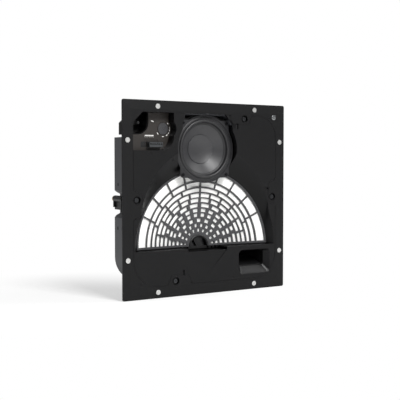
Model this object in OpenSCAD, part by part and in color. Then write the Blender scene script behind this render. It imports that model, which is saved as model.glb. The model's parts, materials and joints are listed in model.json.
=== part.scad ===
/* [Flange] */
// Width and height of the square front flange
flange_w = 413; // [400:1:500]
// Thickness of the flange and of the flat field inside it
flange_t = 4; // [3.5:0.5:5]
// Radius of the flange's outer corners
flange_corner_r = 4; // [1:0.5:8]
// Width of the band round the edge that slopes back a little
rim_w = 19.5; // [16:0.5:24]
// How far the outer edge of the band lies behind the field
rim_drop = 1.2; // [0:0.1:1.6]
// Width of the ring that bears on the ceiling, from the edge in to the rear can
seat_w = 24.3; // [22:0.1:32]

/* [Grille magnets] */
// Diameter of each grille magnet
magnet_d = 10.6; // [8:0.1:12]
// Thickness of each grille magnet
magnet_t = 2.4; // [1.5:0.1:2.6]
// Distance of a magnet from the middle of its side
magnet_offset = 123.5; // [100:0.5:160]
// Distance of a magnet's centre from the flange's edge
magnet_inset = 12.3; // [9:0.1:15]

/* [Rear can] */
// Depth of the rear can behind the flange
can_depth = 96; // [90:1:130]
// Wall of the rear can
can_wall = 2.5; // [2:0.1:4]
// How much each side leans in towards the back
can_draft = 3.4; // [0:0.1:5]
// Bevel round the can's back edge
can_bevel = 8; // [3:0.5:14]
// Radius of the can's corners, seen from the front
can_corner_r = 50; // [42:1:60]
// Height of the stiffening ribs on the can's back
can_rib_h = 1.6; // [0.8:0.1:3]

/* [Woofer] */
// Height of the woofer's centre above the middle of the flange
woofer_z = 106.7; // [106:0.1:108]
// Radius of the bulging sides of the woofer's frame
basket_r = 73.65; // [70:0.05:75]
// Half width of the square corners of the woofer's frame
basket_corner_half = 62.3; // [56:0.1:64]
// Distance of each woofer screw from the woofer's axis, along X and Z
basket_screw_xy = 55.5; // [50:0.5:57]
// Depth of the woofer's frame behind the front plane
basket_d = 13; // [10:0.5:15]
// Outer radius of the half-round surround
roll_outer_r = 64.7; // [60:0.1:66]
// Inner radius of the half-round surround
roll_inner_r = 57; // [52:0.1:58]
// Depth of the cone from its rim to the voice coil
cone_h = 23; // [16:0.5:28]
// Radius of the dust cap
cap_r = 31.5; // [24:0.5:34]
// Radius of the voice coil former
former_r = 19; // [14:0.5:20]
// Radius of the woofer's magnet
woofer_magnet_r = 45; // [38:0.5:50]
// Thickness of the woofer's magnet
woofer_magnet_t = 14; // [10:0.5:16]

/* [Fan guide] */
// Height of the fan's centre, which is on its straight lower edge
fan_z = -104.5; // [-106:0.1:-104]
// Outer radius of the fan's rim
fan_r = 167; // [163:0.1:168]
// Depth of the rim's plane at the fan's centre
fan_d = 14; // [12:0.5:18]
// Angle by which the fan leans back at the top
fan_tilt = 4.57; // [3:0.01:6]
// Rise of the dish from rim to throat, per millimetre of radius
fan_slope = 0.17; // [0.1:0.01:0.2]
// Thickness of the moulded grid
grid_t = 3; // [2:0.1:4]
// Radius of the throat
throat_r = 25.5; // [22:0.5:28]

/* [Port] */
// Width of the port's passage
port_w = 68; // [50:1:70]
// Height of the port's passage at its mouth
port_h = 35; // [25:1:36]
// Depth of the port's inner end behind the front plane
port_end_d = 80; // [60:1:84]

/* [Input recess] */
// Depth of the input panel behind the front plane
panel_d = 22; // [18:0.5:24]
// Depth of the floor of the cable well behind the front plane
well_d = 58; // [40:1:62]
// Diameter of the power selector
selector_d = 24.4; // [18:0.2:25]

/* [Ceiling clamps] */
// Distance of each clamp screw from the side of the can
clamp_edge = 8.7; // [7:0.1:9.5]
// Radius of each clamp screw's shank
screw_r = 2.5; // [2:0.1:3]
// Length of a clamp arm from its screw to its tip
arm_l = 27; // [22:0.5:29]
// Height of a clamp arm along its screw
arm_h = 38; // [20:1:40]
// Depth of a stowed clamp arm's front face behind the flange's back
arm_rest = 57; // [50:1:60]

/* [Hidden] */
$fn = 64;

// Clearances: face to face seats, fixed parts, and a shank turning in its bore
fit_gap = 0.3;
running_gap = 0.05;
sheet_gap = 0.2;

// The front plane is at Y = -flange_t, and depths are counted from it
edge = flange_w / 2;
can_half = edge - seat_w;
can_inner_back = can_depth - can_wall;
gasket_t = 1;
seat_step = 0.3;
wall = 2.2;

// Fine line moulded in the field along the can's outline
groove_w = 0.9;
groove_t = 0.6;
can_corner_low_r = can_corner_r + 8;

// Screw columns of the can: X and Z of each
columns = [[-164, 84], [164, 84], [150, 160], [-148, -150], [20, -166], [166, -146]];
column_r = 5.5;
column_bore_r = 3.6;
column_foot_y = 12;
pilot_r = 1.5;
can_screw_r = 1.7;
can_screw_head_r = 3.2;

// Clamps: X, Z and turn about Y of each, with its arm stowed along -Z before the turn
clamp_line = can_half - clamp_edge;
CLAMP_LEFT = [-clamp_line, 0, 0];
CLAMP_RIGHT = [clamp_line, 0, 180];
CLAMP_TOP = [96, clamp_line, 90];
CLAMP_BOTTOM = [-81, -clamp_line, -90];
CLAMPS = [CLAMP_LEFT, CLAMP_RIGHT, CLAMP_TOP, CLAMP_BOTTOM];
counterbore_r = 8.25;
counterbore_d = 5;
screw_head_r = 4.4;
screw_head_t = 3.2;
screw_tip_y = can_depth + 1;
boss_r = 10.5;
boss_back = 9;
hub_r = 7;
arm_w = 11;
nut_r = 4.6;
nut_flange_r = 6.6;
nut_flange_t = 2.5;

// Woofer: depths of its stack behind the front plane
basket_t = 2.6;
basket_step = 1.5;
basket_lip_r = 70;
well_gap = 1.85;
seat_d = basket_d + basket_t + gasket_t;
sleeve_r = 69.6;
sleeve_end_d = 50;
surround_t = 0.9;
surround_seat_d = basket_d + basket_step;
cone_rim_d = basket_d + 4;
cone_t = 1.1;
cone_foot_d = cone_rim_d + cone_h;
spider_d = cone_foot_d + 9;
spider_r = 46;
basket_foot_d = spider_d + 8;
top_plate_t = 5;
gap_w = 2.4;
yoke_t = 5;
coil_t = 0.9;
former_t = 0.4;
pole_r = former_r - 0.8;
plate_bore_r = former_r + gap_w;
magnet_front_d = basket_foot_d + 2 + top_plate_t;
magnet_back_d = magnet_front_d + woofer_magnet_t;

// Crescent: a circle in the front plane that narrows to the fan's rim
crescent_z = -50;
crescent_r = 165;
apron_r = fan_r + 11;
lower_edge_z = fan_z - 2.5;
notch_half = 50;
notch_h = 6.5;
pocket_w = 30;
valley_z = -163;
valley_d = 1.4;
collar_r = fan_r + fit_gap;
collar_w = 6;
shelf_t = wall + 0.5;
recess_fn = 120;

// Fan: rows of windows, each [inner radius, outer radius, rib width, rib angles from the middle]
wide_ribs = [0, 16.2, 32.4, 48.6, 64.8];
twelve_ribs = [0, 15, 30, 45, 60, 75];
nine_ribs = [10.2, 30.6, 51, 71.4];
guide_rows = [
    [143.2, 162.5, 3.2, wide_ribs],
    [130, 139.8, 3, wide_ribs],
    [118.8, 126.8, 3.2, [0, 22.4, 44.8, 67]],
    [107.2, 115.6, 3.4, [0, 13.5, 29.2, 44.7, 59.5, 75]],
    [96.6, 104.6, 5.2, [0, 15.2, 29.5, 44.5, 59.7, 74.8]],
    [85.6, 93.4, 7.6, [0, 18.6, 36.3, 60.6, 72.1]],
    [75, 82.2, 7.2, twelve_ribs],
    [64.6, 72, 7.6, twelve_ribs],
    [53, 60.4, 9.4, nine_ribs],
    [42.2, 49.6, 7.8, [0, 18.2, 36.4, 54.6, 72.8]],
    [31.8, 38.6, 6.6, nine_ribs]
];
window_foot = 4.6;
dish_r = fan_r - 2;
mesh_t = 0.6;
foot_t = 2.2;
sill_x = notch_half + wall + 2;
horn_gap = 10;
horn_t = 2.5;
horn_flange_t = 2.5;
// Cut that keeps the fan clear of the woofer's sleeve, on the fan's axes
woofer_v = (woofer_z - fan_z) / cos(fan_tilt) + 0.4;
woofer_cut_r = sleeve_r + 1.2;
guide_screw_angles = [12, 40, 140, 168];
guide_screw_r = fan_r + 2.4;

// High driver, on the fan's own axes: height above the fan's centre and depths behind its rim
driver_v = 16;
driver_seat_w = 42;
driver_r = 36;
driver_plate_t = 4;
driver_magnet_r = 33;
driver_magnet_t = 11;
driver_yoke_t = 4;
driver_cover_t = 1.6;
driver_bore_r = 12.5;
dome_r = 21;
pole_gap = 1.2;

// Port: lower right corner of the field
port_x = 122;
port_top_z = -120;
port_r = 6;
port_wall = 2.2;
flare_left = 7;
flare_right = 11;
flare_low = 16;
flare_high = 3;
flare_d = 12;
ramp_rise = 20;

// Input recess: outline of its mouth in the field
input_left = -182.2;
input_right = -85.3;
input_low = 102.5;
input_high = 182;
input_chamfer = 22.6;
input_corner_r = 30;
input_bulge_r = 20.5;
panel_t = 2;
tub_floor_t = 2.5;
well_right = -137;
well_low = 138;
well_corner_r = 22;
can_cut_x = -131;
can_cut_z = 131;
selector_x = -99.8;
selector_z = 148.6;
terminal_x = -122.5;
terminal_z = 114.8;
terminal_w = 34;
terminal_h = 12.6;
terminal_pitch = 5.08;
cable_hole_r = 6;
cable_hole_z = 150.5;
cable_hole_d = 42;

// Electronics in the can
core_x = -118;
core_z = 94;
core_w = 44;
core_h = 38;
core_t = 26;
board_x = 118;
board_z = 108;
board_w = 60;
board_h = 74;
board_y = can_inner_back - 6;

// A flat shape on X and Z, from one depth behind the front plane to another
module plate(d0, d1) {
    translate([0, d1 - flange_t, 0]) rotate([90, 0, 0]) linear_extrude(d1 - d0) children();
}

// A round bar along Y, between two depths
module rod(x, z, d0, d1, r) {
    translate([x, d0 - flange_t, z]) rotate([-90, 0, 0]) cylinder(r = r, h = d1 - d0);
}

// A profile of radius and depth, turned about an axis along Y
module turned(x, z) {
    translate([x, -flange_t, z]) rotate([-90, 0, 0]) rotate_extrude() children();
}

// The fan's own frame: its rim's plane, leaning back at the top
module on_fan() {
    translate([0, fan_d - flange_t, fan_z]) rotate([-fan_tilt, 0, 0]) children();
}

// A flat shape on the fan's plane, between two depths behind the rim
module fan_plate(w0, w1) {
    translate([0, w1, 0]) rotate([90, 0, 0]) linear_extrude(w1 - w0) children();
}

module fan_rod(u, v, w0, w1, r) {
    translate([u, w0, v]) rotate([-90, 0, 0]) cylinder(r = r, h = w1 - w0);
}

// A profile of radius and depth, turned half way round above the fan's straight edge
module half_turned() {
    rotate([-90, 0, 0]) rotate([0, 0, 180]) rotate_extrude(angle = 180) children();
}

module fan_turned(v) {
    translate([0, 0, v]) rotate([-90, 0, 0]) rotate_extrude() children();
}

module rounded_square(half, r) {
    square([2 * half, 2 * (half - r)], center = true);
    square([2 * (half - r), 2 * half], center = true);
    for (x = [-1, 1], z = [-1, 1]) translate([x * (half - r), z * (half - r)]) circle(r);
}

module rounded_box(x0, z0, x1, z1, r) {
    translate([x0 + r, z0]) square([x1 - x0 - 2 * r, z1 - z0]);
    translate([x0, z0 + r]) square([x1 - x0, z1 - z0 - 2 * r]);
    for (x = [x0 + r, x1 - r], z = [z0 + r, z1 - r]) translate([x, z]) circle(r);
}

// Puts what is drawn for the left clamp, about its screw, at any clamp
module at_clamp(c) {
    translate([c[0], 0, c[1]]) rotate([0, c[2], 0]) children();
}

module at_clamp_flat(c) {
    translate([c[0], c[1]]) rotate(-c[2]) children();
}

// Recess in the can's side that holds a stowed arm, grown by e
module clamp_notch(e) {
    polygon([
        [clamp_edge + 12, 26 + 1.2 * e],
        [-11.5 - e, 10 + 1.2 * e],
        [-11.5 - e, -31 - 1.2 * e],
        [clamp_edge + 12, -47 - 1.2 * e]
    ] * [[-1, 0], [0, 1]]);
}

// Outline of the can, smaller by the inset
module can_outline(inset) {
    low = can_half - can_corner_low_r;
    high = can_half - can_corner_r;
    r_low = can_corner_low_r - inset;
    r_high = can_corner_r - inset;
    square([2 * (can_half - inset), 2 * low], center = true);
    square([2 * low, 2 * (can_half - inset)], center = true);
    translate([-low, -low]) circle(r_low);
    translate([low, -low]) circle(r_low);
    translate([-high, high]) circle(r_high);
    translate([high, high]) circle(r_high);
    translate([-high, -low]) square([2 * high, low + can_half - inset]);
    translate([-can_half + inset, 0]) square([2 * (can_half - inset), high]);
}

module can_solid(shrink, depth) {
    hull() {
        plate(flange_t - 0.01, flange_t) can_outline(shrink);
        plate(flange_t + depth - can_bevel - 0.01, flange_t + depth - can_bevel)
            can_outline(shrink + can_draft);
        plate(flange_t + depth - 0.01, flange_t + depth) can_outline(shrink + can_draft + can_bevel);
    }
}

// What the can leaves free: four clamp recesses and the corner of the cable well
module can_gaps(e) {
    for (c = CLAMPS) at_clamp_flat(c) clamp_notch(e);
    translate([-edge, can_cut_z - e]) square([edge + can_cut_x + e, edge]);
}

module can_cuts(e) {
    plate(-1, can_depth + 20) can_gaps(e);
}

// Mouth of the input recess, grown by e
module input_mouth(e) {
    difference() {
        union() {
            translate([input_left - e, input_low - e])
                square([input_right - input_left - input_corner_r + e, input_high - input_low + 2 * e]);
            translate([input_left - e, input_low + input_corner_r])
                square([input_right - input_left + 2 * e, input_high - input_low - input_corner_r + e]);
            translate([input_right - input_corner_r, input_low + input_corner_r]) circle(input_corner_r + e);
            intersection() {
                translate([selector_x, selector_z]) circle(input_bulge_r + e);
                translate([selector_x, input_low]) square([60, input_high - input_low]);
            }
        }
        translate([input_left - e, input_high + e]) rotate(45)
            square(1.4142 * (input_chamfer + 0.6 * e), center = true);
    }
}

// The deep well in the recess's outer corner, grown by e
module cable_well(e) {
    intersection() {
        input_mouth(e);
        union() {
            translate([input_left - 9, well_low + well_corner_r])
                square([well_right - input_left + 9 + e, 60]);
            translate([input_left - 9, well_low - e])
                square([well_right - input_left + 9 - well_corner_r, 60]);
            translate([well_right - well_corner_r, well_low + well_corner_r]) circle(well_corner_r + e);
        }
    }
}

module basket_outline(e) {
    circle(basket_r + e);
    rounded_square(basket_corner_half + e, 10 + e);
}

// The frame's outline in its place, cut off at the corner beside the top clamp
module basket_flat(e) {
    difference() {
        translate([0, woofer_z]) basket_outline(e);
        at_clamp_flat(CLAMP_TOP) clamp_notch(can_wall + 0.8 - e);
    }
}

// Mouth of the woofer's well, with its flat top and cut corner
module woofer_mouth() {
    translate([0, woofer_z]) {
        basket_outline(well_gap);
        polygon([[-60, 40], [-58, 75], [46, 75], [60, 58], [60, 40]]);
    }
}

// The part of a disc between two heights
module disc_band(z, r, z0, z1) {
    intersection() {
        translate([0, z]) circle(r, $fn = recess_fn);
        translate([-r, z0]) square([2 * r, z1 - z0]);
    }
}

// The recess round the fan, grown by a wall: the crescent, and the aprons at its two ends
module crescent(e) {
    low = lower_edge_z - e;
    join = -30;
    front = e > 0 ? 0 : -1;
    hull() {
        plate(front, 0.01) disc_band(crescent_z, crescent_r + e, low, edge);
        on_fan() fan_plate(-0.01, 0) disc_band(0, collar_r + 0.15 + e, low - fan_z, edge);
    }
    hull() {
        plate(front, 0.01) disc_band(fan_z, apron_r + e, low, join);
        on_fan() fan_plate(-0.01, 0) disc_band(0, collar_r + 0.15 + e, low - fan_z, join - fan_z);
    }
}

// Half a round bar along the fan's axis, above its lower edge
module half_rod(w0, w1, r, v0) {
    fan_plate(w0, w1) difference() {
        circle(r);
        translate([-r - 1, v0 - 2 * r]) square([2 * r + 2, 2 * r]);
    }
}

module port_mouth_flare(e) {
    hull() {
        plate(-0.01, 0)
            rounded_box(port_x - port_w / 2 - flare_left, port_top_z - port_h - flare_low,
                port_x + port_w / 2 + flare_right, port_top_z + flare_high, port_r + 4, $fn = 32);
        plate(flare_d - 0.01, flare_d)
            rounded_box(port_x - port_w / 2 - e, port_top_z - port_h - e,
                port_x + port_w / 2 + e, port_top_z + e, port_r + e, $fn = 32);
    }
}

// Bevels the four sides of the flange's band
module rim_slopes() {
    lean = atan(rim_drop / rim_w);
    for (turn = [0, 90, 180, 270])
        rotate([0, turn, 0]) translate([edge - rim_w, -flange_t, -edge - 10]) rotate([0, 0, lean])
            translate([0, -10, 0]) cube([2 * rim_w, 10, 2 * edge + 20]);
}

// The plate with its recess for the fan, the fan's collar and the shelf below it
module recessed_plate() {
    low = lower_edge_z - fan_z;
    difference() {
        union() {
            // Only the band outside the can seats on the ceiling, so the rest lies a step lower
            difference() {
                plate(0, flange_t) rounded_square(edge, flange_corner_r);
                plate(flange_t - seat_step, flange_t + 1) can_outline(-fit_gap);
            }
            crescent(wall);
            on_fan() half_rod(-0.6, collar_w, fan_r + 5, low - shelf_t);
            on_fan() fan_plate(-0.6, dish(throat_r) + horn_gap)
                translate([-dish_r, low - shelf_t]) square([2 * dish_r, shelf_t]);
            plate(flange_t - 1, seat_d + 3) difference() {
                intersection() {
                    can_outline(can_wall + 1.1);
                    translate([0, woofer_z]) union() {
                        circle(basket_r + well_gap + wall);
                        rounded_square(basket_corner_half + well_gap + wall, 14);
                    }
                }
                at_clamp_flat(CLAMP_TOP) clamp_notch(can_wall + 1.1);
            }
            // Pocket below the throat
            plate(flange_t - 1, fan_d + pocket_w + wall)
                translate([-notch_half - wall, lower_edge_z - notch_h - wall])
                    square([2 * (notch_half + wall), notch_h + wall]);
        }
        crescent(0);
        on_fan() {
            half_rod(-0.1, 46, collar_r, low);
            for (a = guide_screw_angles) rotate([0, -a, 0])
                fan_rod(guide_screw_r, 0, collar_w - 3.5, collar_w + 1, 1);
        }
        // Notch below the throat, and the shallow valley that runs down from it
        plate(-1, fan_d + pocket_w) translate([-notch_half, lower_edge_z - notch_h])
            square([2 * notch_half, notch_h + 2]);
        hull() {
            plate(-0.01, valley_d) translate([-notch_half, lower_edge_z - notch_h])
                square([2 * notch_half, 1]);
            plate(-0.01, 0) translate([-1, valley_z]) square([2, 1]);
        }
    }
}

module front_frame() {
    color("#303032") difference() {
        union() {
            recessed_plate();
            // Ring that centres the can and its gasket
            plate(flange_t - 1, flange_t + 7) difference() {
                can_outline(can_wall + 1);
                can_outline(can_wall + 3.2);
                for (c = CLAMPS) at_clamp_flat(c) clamp_notch(can_wall + 3.4);
                translate([-edge, can_cut_z - 40]) square([edge + input_right + 10, edge]);
            }
            // Sleeve of the woofer
            rod(0, woofer_z, seat_d, sleeve_end_d, sleeve_r);
            // Tub of the input recess and the cable well
            plate(flange_t - 1, panel_d + panel_t + tub_floor_t) input_mouth(wall);
            plate(flange_t - 1, well_d + wall) cable_well(wall);
            // Boss of the port
            plate(flange_t - 1, flare_d) intersection() {
                can_outline(can_wall + 1);
                rounded_box(port_x - port_w / 2 - flare_left, port_top_z - port_h - flare_low + 3,
                    port_x + port_w / 2 + flare_right - 1, port_top_z + flare_high + 2, port_r + 2);
            }
            for (c = CLAMPS) rod(c[0], c[1], flange_t - 1, boss_back, boss_r);
            for (p = columns) rod(p[0], p[1], flange_t - 1, flange_t + column_foot_y - fit_gap, column_r - 1);
        }
        rim_slopes();
        // Line along the can's outline
        plate(-1, groove_t) difference() {
            field_line(0);
            field_line(groove_w);
        }
        plate(-1, seat_d) woofer_mouth();
        // Catch of the tether beside the woofer: a sunk step with a slit and a block left standing
        plate(-1, 2) translate([60, 153]) square([17, 9]);
        rod(0, woofer_z, basket_d, sleeve_end_d + 1, sleeve_r - wall);
        for (x = [-1, 1], z = [-1, 1])
            rod(x * basket_screw_xy, woofer_z + z * basket_screw_xy, basket_d, seat_d + 2.5, pilot_r);
        plate(-1, panel_d + panel_t) input_mouth(0);
        plate(panel_d, well_d) cable_well(0);
        rod(selector_x, selector_z, panel_d, panel_d + 10, 4);
        plate(panel_d, panel_d + 10) translate([terminal_x, terminal_z])
            square([terminal_w - 4, terminal_h - 4], center = true);
        // Way in for the building's cable, through the well's outer side
        translate([input_left - 10, cable_hole_d - flange_t, cable_hole_z]) rotate([0, 90, 0])
            cylinder(r = cable_hole_r, h = 12);
        port_mouth_flare(0);
        plate(-1, flare_d + 1) rounded_box(port_x - port_w / 2, port_top_z - port_h,
            port_x + port_w / 2, port_top_z, port_r);
        for (c = CLAMPS) {
            rod(c[0], c[1], -1, counterbore_d, counterbore_r);
            rod(c[0], c[1], 0, boss_back + 1, screw_r + running_gap);
            plate(-1, flange_t + 1) at_clamp_flat(c) translate([16.5, -19]) square([12, 4.6], center = true);
        }
        for (p = columns) rod(p[0], p[1], flange_t, flange_t + column_foot_y, pilot_r);
        // Pockets of the magnets
        for (turn = [0, 90, 180, 270], x = [-1, 1]) rotate([0, turn, 0])
            rod(x * magnet_offset, edge - magnet_inset, -1, magnet_front_depth() + magnet_t,
                magnet_d / 2 + fit_gap);
        small_holes();
    }
}

function magnet_front_depth() = rim_drop * (rim_w - magnet_inset) / rim_w;

// Line in the field: the can's outline, led round the clamps and stopped by the input recess
module field_line(inset) {
    difference() {
        can_outline(inset);
        for (c = CLAMPS) at_clamp_flat(c) clamp_notch(inset);
        input_mouth(2 - inset);
        woofer_mouth();
    }
}

module small_holes() {
    spots = [[-140, 97], [-113, 97], [66.9, -175.3], [171, -169.7], [-163.6, -175.3],
        [174.4, -65], [57.2, 180.3], [-42.8, -179.4], [179.4, 39.4], [-177.5, -39.2], [164.7, 177.5]];
    for (p = spots) rod(p[0], p[1], -1, 2, 1.1);
    for (p = [[-85.3, 82.5], [-142.8, 33.6], [-123.9, 33.6]]) rod(p[0], p[1], -1, 16, 1.3);
    // Recess of the tether screw
    rod(177, 179, -1, 2.2, 6.2);
}

module grille_magnets() {
    color("#d8d8d6") for (turn = [0, 90, 180, 270], x = [-1, 1]) rotate([0, turn, 0])
        rod(x * magnet_offset, edge - magnet_inset, magnet_front_depth(), magnet_front_depth() + magnet_t,
            magnet_d / 2);
}

module rear_can() {
    color("#3a3a3c") difference() {
        union() {
            can_solid(0, can_depth);
            for (x = [-120:40:120]) translate([x - 1, can_depth - 1, -150]) cube([2, 1 + can_rib_h, 280]);
            for (z = [-110:40:130]) translate([-120, can_depth - 1, z - 1]) cube([240, 1 + can_rib_h, 2]);
        }
        can_cuts(0);
        difference() {
            can_solid(can_wall, can_inner_back);
            can_cuts(can_wall);
            for (p = columns) rod(p[0], p[1], 0, flange_t + can_depth, column_r);
        }
        // The front edge stops at the gasket, and the screw columns above their bosses
        plate(-1, flange_t + gasket_t) square(2 * edge, center = true);
        for (p = columns) {
            rod(p[0], p[1], 0, flange_t + column_foot_y, column_r + 1);
            rod(p[0], p[1], flange_t, flange_t + column_foot_y + 5, can_screw_r + 0.3);
            rod(p[0], p[1], flange_t + column_foot_y + 3, flange_t + can_depth + 3, column_bore_r);
        }
        // Room for the input tub, the crescent and the woofer's seat
        plate(0, panel_d + panel_t + tub_floor_t + fit_gap) input_mouth(wall + fit_gap);
        plate(0, fan_d) disc_band(crescent_z, crescent_r + wall + fit_gap, -60, 60);
        plate(0, seat_d + fit_gap) translate([0, woofer_z]) circle(basket_r + fit_gap);
        // Latch windows beside the clamps
        for (z = [32, -62]) translate([-can_half - 1, 78, z]) cube([2.2, 9, 4]);
        for (z = [-36, 58]) translate([can_half - 1.2, 78, z]) cube([2.2, 9, 4]);
    }
}

module can_gasket() {
    color("#161616") plate(flange_t - seat_step, flange_t + gasket_t) difference() {
        can_outline(0.2);
        can_gaps(0.2);
        difference() {
            can_outline(can_wall - 0.2);
            can_gaps(can_wall - 0.2);
        }
        input_mouth(wall + fit_gap);
        woofer_mouth();
        disc_band(crescent_z, crescent_r + wall + fit_gap, -60, 60);
    }
}

module can_screws() {
    color("#9a9a98") for (p = columns) {
        rod(p[0], p[1], flange_t + 3, flange_t + column_foot_y + 3, pilot_r - 0.02);
        rod(p[0], p[1], flange_t + column_foot_y + 3, flange_t + column_foot_y + 5.4, can_screw_head_r);
    }
}

module damping_pad() {
    color("#8d8f8c") translate([-112, can_inner_back - 9, -60]) cube([84, 9, 84]);
}

module safety_lug() {
    color("#b9bab8") translate([70, can_depth, 152]) difference() {
        union() {
            translate([-14, 0, -9]) cube([28, 1.6, 18]);
            translate([-14, 0, -9]) cube([1.6, 14, 18]);
        }
        translate([-15, 8.6, 0]) rotate([0, 90, 0]) cylinder(r = 3.2, h = 4);
    }
}

// Woofer frame: flange with a raised edge, six legs, a shelf for the spider and a foot for the magnet
module woofer_basket() {
    leg_inner = 50;
    color("#4a4a4b") difference() {
        union() {
            plate(basket_d, basket_d + basket_t) basket_flat(0);
            turned(0, woofer_z) polygon([
                [roll_outer_r + 1.5, basket_d + 2], [sleeve_r - wall - fit_gap, basket_d + 2],
                [leg_inner + 2.5, spider_d], [leg_inner + 2.5, basket_foot_d + 2],
                [plate_bore_r, basket_foot_d + 2], [plate_bore_r, basket_foot_d],
                [leg_inner, basket_foot_d], [leg_inner, spider_d + 2.2],
                [spider_r - 3, spider_d + 2.2], [spider_r - 3, spider_d], [leg_inner, spider_d]
            ]);
        }
        rod(0, woofer_z, basket_d - 1, basket_d + basket_step, basket_lip_r);
        rod(0, woofer_z, basket_d - 1, basket_d + basket_t + 0.5, roll_outer_r - 2);
        // Windows between the legs
        for (a = [0:60:300]) translate([0, 0, woofer_z]) rotate([0, a, 0])
            translate([30, basket_d + basket_t + 4 - flange_t, -17])
                cube([60, spider_d - basket_d - basket_t - 6, 34]);
        for (x = [-1, 1], z = [-1, 1])
            rod(x * basket_screw_xy, woofer_z + z * basket_screw_xy, 0, seat_d, 2.1);
    }
}

module woofer_gasket() {
    color("#161616") difference() {
        plate(basket_d + basket_t, seat_d) basket_flat(-1);
        rod(0, woofer_z, basket_d, seat_d + 1, sleeve_r - wall + 0.2);
        for (x = [-1, 1], z = [-1, 1])
            rod(x * basket_screw_xy, woofer_z + z * basket_screw_xy, 0, seat_d + 1, 2.1);
    }
}

// Half-round roll between two lips, the inner one turned down over the cone's edge
module woofer_surround() {
    mid = (roll_outer_r + roll_inner_r) / 2;
    rad = (roll_outer_r - roll_inner_r) / 2;
    top = surround_seat_d;
    color("#2a2a2c") turned(0, woofer_z) {
        difference() {
            translate([mid, top]) circle(rad);
            translate([mid, top]) circle(rad - surround_t);
            translate([mid - 10, top]) square([20, 20]);
        }
        translate([roll_outer_r - surround_t, top - surround_t])
            square([basket_lip_r - fit_gap - roll_outer_r + surround_t, surround_t]);
        translate([roll_inner_r, top - 0.01]) square([surround_t, cone_rim_d - top + 0.01 + 1.2]);
    }
}

function cone_depth(r) = cone_rim_d + cone_h * pow((roll_inner_r - r) / (roll_inner_r - former_r), 0.92);

module woofer_cone() {
    rings = [for (i = [0:8]) roll_inner_r - fit_gap - i * (roll_inner_r - fit_gap - former_r - former_t) / 8];
    front = [for (r = rings) [r, cone_depth(r)]];
    back = [for (i = [8:-1:0]) [rings[i], cone_depth(rings[i]) + cone_t]];
    color("#505052") turned(0, woofer_z) polygon(concat(front, back));
}

module woofer_dust_cap() {
    // Shallow bowl: one circle's arc, moved back for its inner side
    sag = 5.5;
    r_arc = (cap_r * cap_r + sag * sag) / (2 * sag);
    rim = cone_depth(cap_r) - 0.9;
    color("#58585a") turned(0, woofer_z) intersection() {
        difference() {
            translate([0, rim + sag - r_arc]) circle(r_arc, $fn = 200);
            translate([0, rim + sag - r_arc - 0.8]) circle(r_arc, $fn = 200);
        }
        translate([0, rim - 0.8]) square([cap_r, sag + 2]);
    }
}

module woofer_voice_coil() {
    color("#a5713a") turned(0, woofer_z) {
        translate([former_r - former_t, cone_foot_d - 1]) square([former_t, magnet_front_d - cone_foot_d + 2]);
        translate([former_r, magnet_front_d - top_plate_t - 1]) square([coil_t, top_plate_t + 2]);
    }
}

// Corrugated ring from the coil former to the basket's shelf
module woofer_spider() {
    waves = 4;
    steps = 32;
    r0 = former_r + 0.1;
    r1 = spider_r;
    function wave(i) = i < 4 || i > 28 ? 0 : sin(360 * waves * (i - 4) / 24);
    front = [for (i = [0:steps]) [r0 + (r1 - r0) * i / steps, spider_d - 0.5 - 1.3 * wave(i)]];
    back = [for (i = [steps:-1:0]) [front[i][0], front[i][1] + 0.5]];
    color("#b58a4a") turned(0, woofer_z) polygon(concat(front, back));
}

module woofer_top_plate() {
    color("#8c8e90") turned(0, woofer_z) translate([plate_bore_r, basket_foot_d + 2])
        square([woofer_magnet_r - 4 - plate_bore_r, top_plate_t]);
}

module woofer_magnet() {
    color("#2b2b2d") turned(0, woofer_z) translate([plate_bore_r + 4, magnet_front_d])
        square([woofer_magnet_r - plate_bore_r - 4, woofer_magnet_t]);
}

module woofer_yoke() {
    color("#8c8e90") turned(0, woofer_z) {
        translate([0, basket_foot_d + 2.5]) square([pole_r, magnet_back_d - basket_foot_d]);
        translate([0, magnet_back_d]) square([woofer_magnet_r - 3, yoke_t]);
    }
}

module woofer_screws() {
    color("#1c1c1e") for (x = [-1, 1], z = [-1, 1]) difference() {
        union() {
            rod(x * basket_screw_xy, woofer_z + z * basket_screw_xy, basket_d - 1.8, basket_d, 3.4);
            rod(x * basket_screw_xy, woofer_z + z * basket_screw_xy, basket_d, seat_d + 2.4, pilot_r - 0.02);
        }
        for (t = [0, 90])
            translate([x * basket_screw_xy, basket_d - 1.9 - flange_t, woofer_z + z * basket_screw_xy])
                rotate([0, t + 20, 0]) translate([-2, -1, -0.4]) cube([4, 2, 0.8]);
    }
}

module woofer_terminals() {
    tab_y = spider_d + 2.2 - flange_t;
    color("#c9b36a") translate([0, 0, woofer_z]) rotate([0, 210, 0]) {
        translate([52.5, tab_y, -9]) cube([1.8, 5, 18]);
        for (z = [-6, 3]) translate([54.3, tab_y + 2, z]) cube([7, 0.8, 3]);
    }
}

// Depth of the dish's front behind the rim's plane
function dish(r) = fan_slope * (dish_r - r);

// One row of windows: a ring cut by ribs that narrow towards the throat
module window_row(row) {
    mid = (row[0] + row[1]) / 2;
    half = asin(row[2] / 2 / mid);
    reach = 1.2 * row[1];
    difference() {
        circle(row[1]);
        circle(row[0]);
        for (a = row[3], s = a == 0 ? [1] : [-1, 1]) rotate(90 + s * a)
            polygon([[0, 0], [reach, -reach * tan(half)], [reach, reach * tan(half)]]);
    }
}

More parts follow.
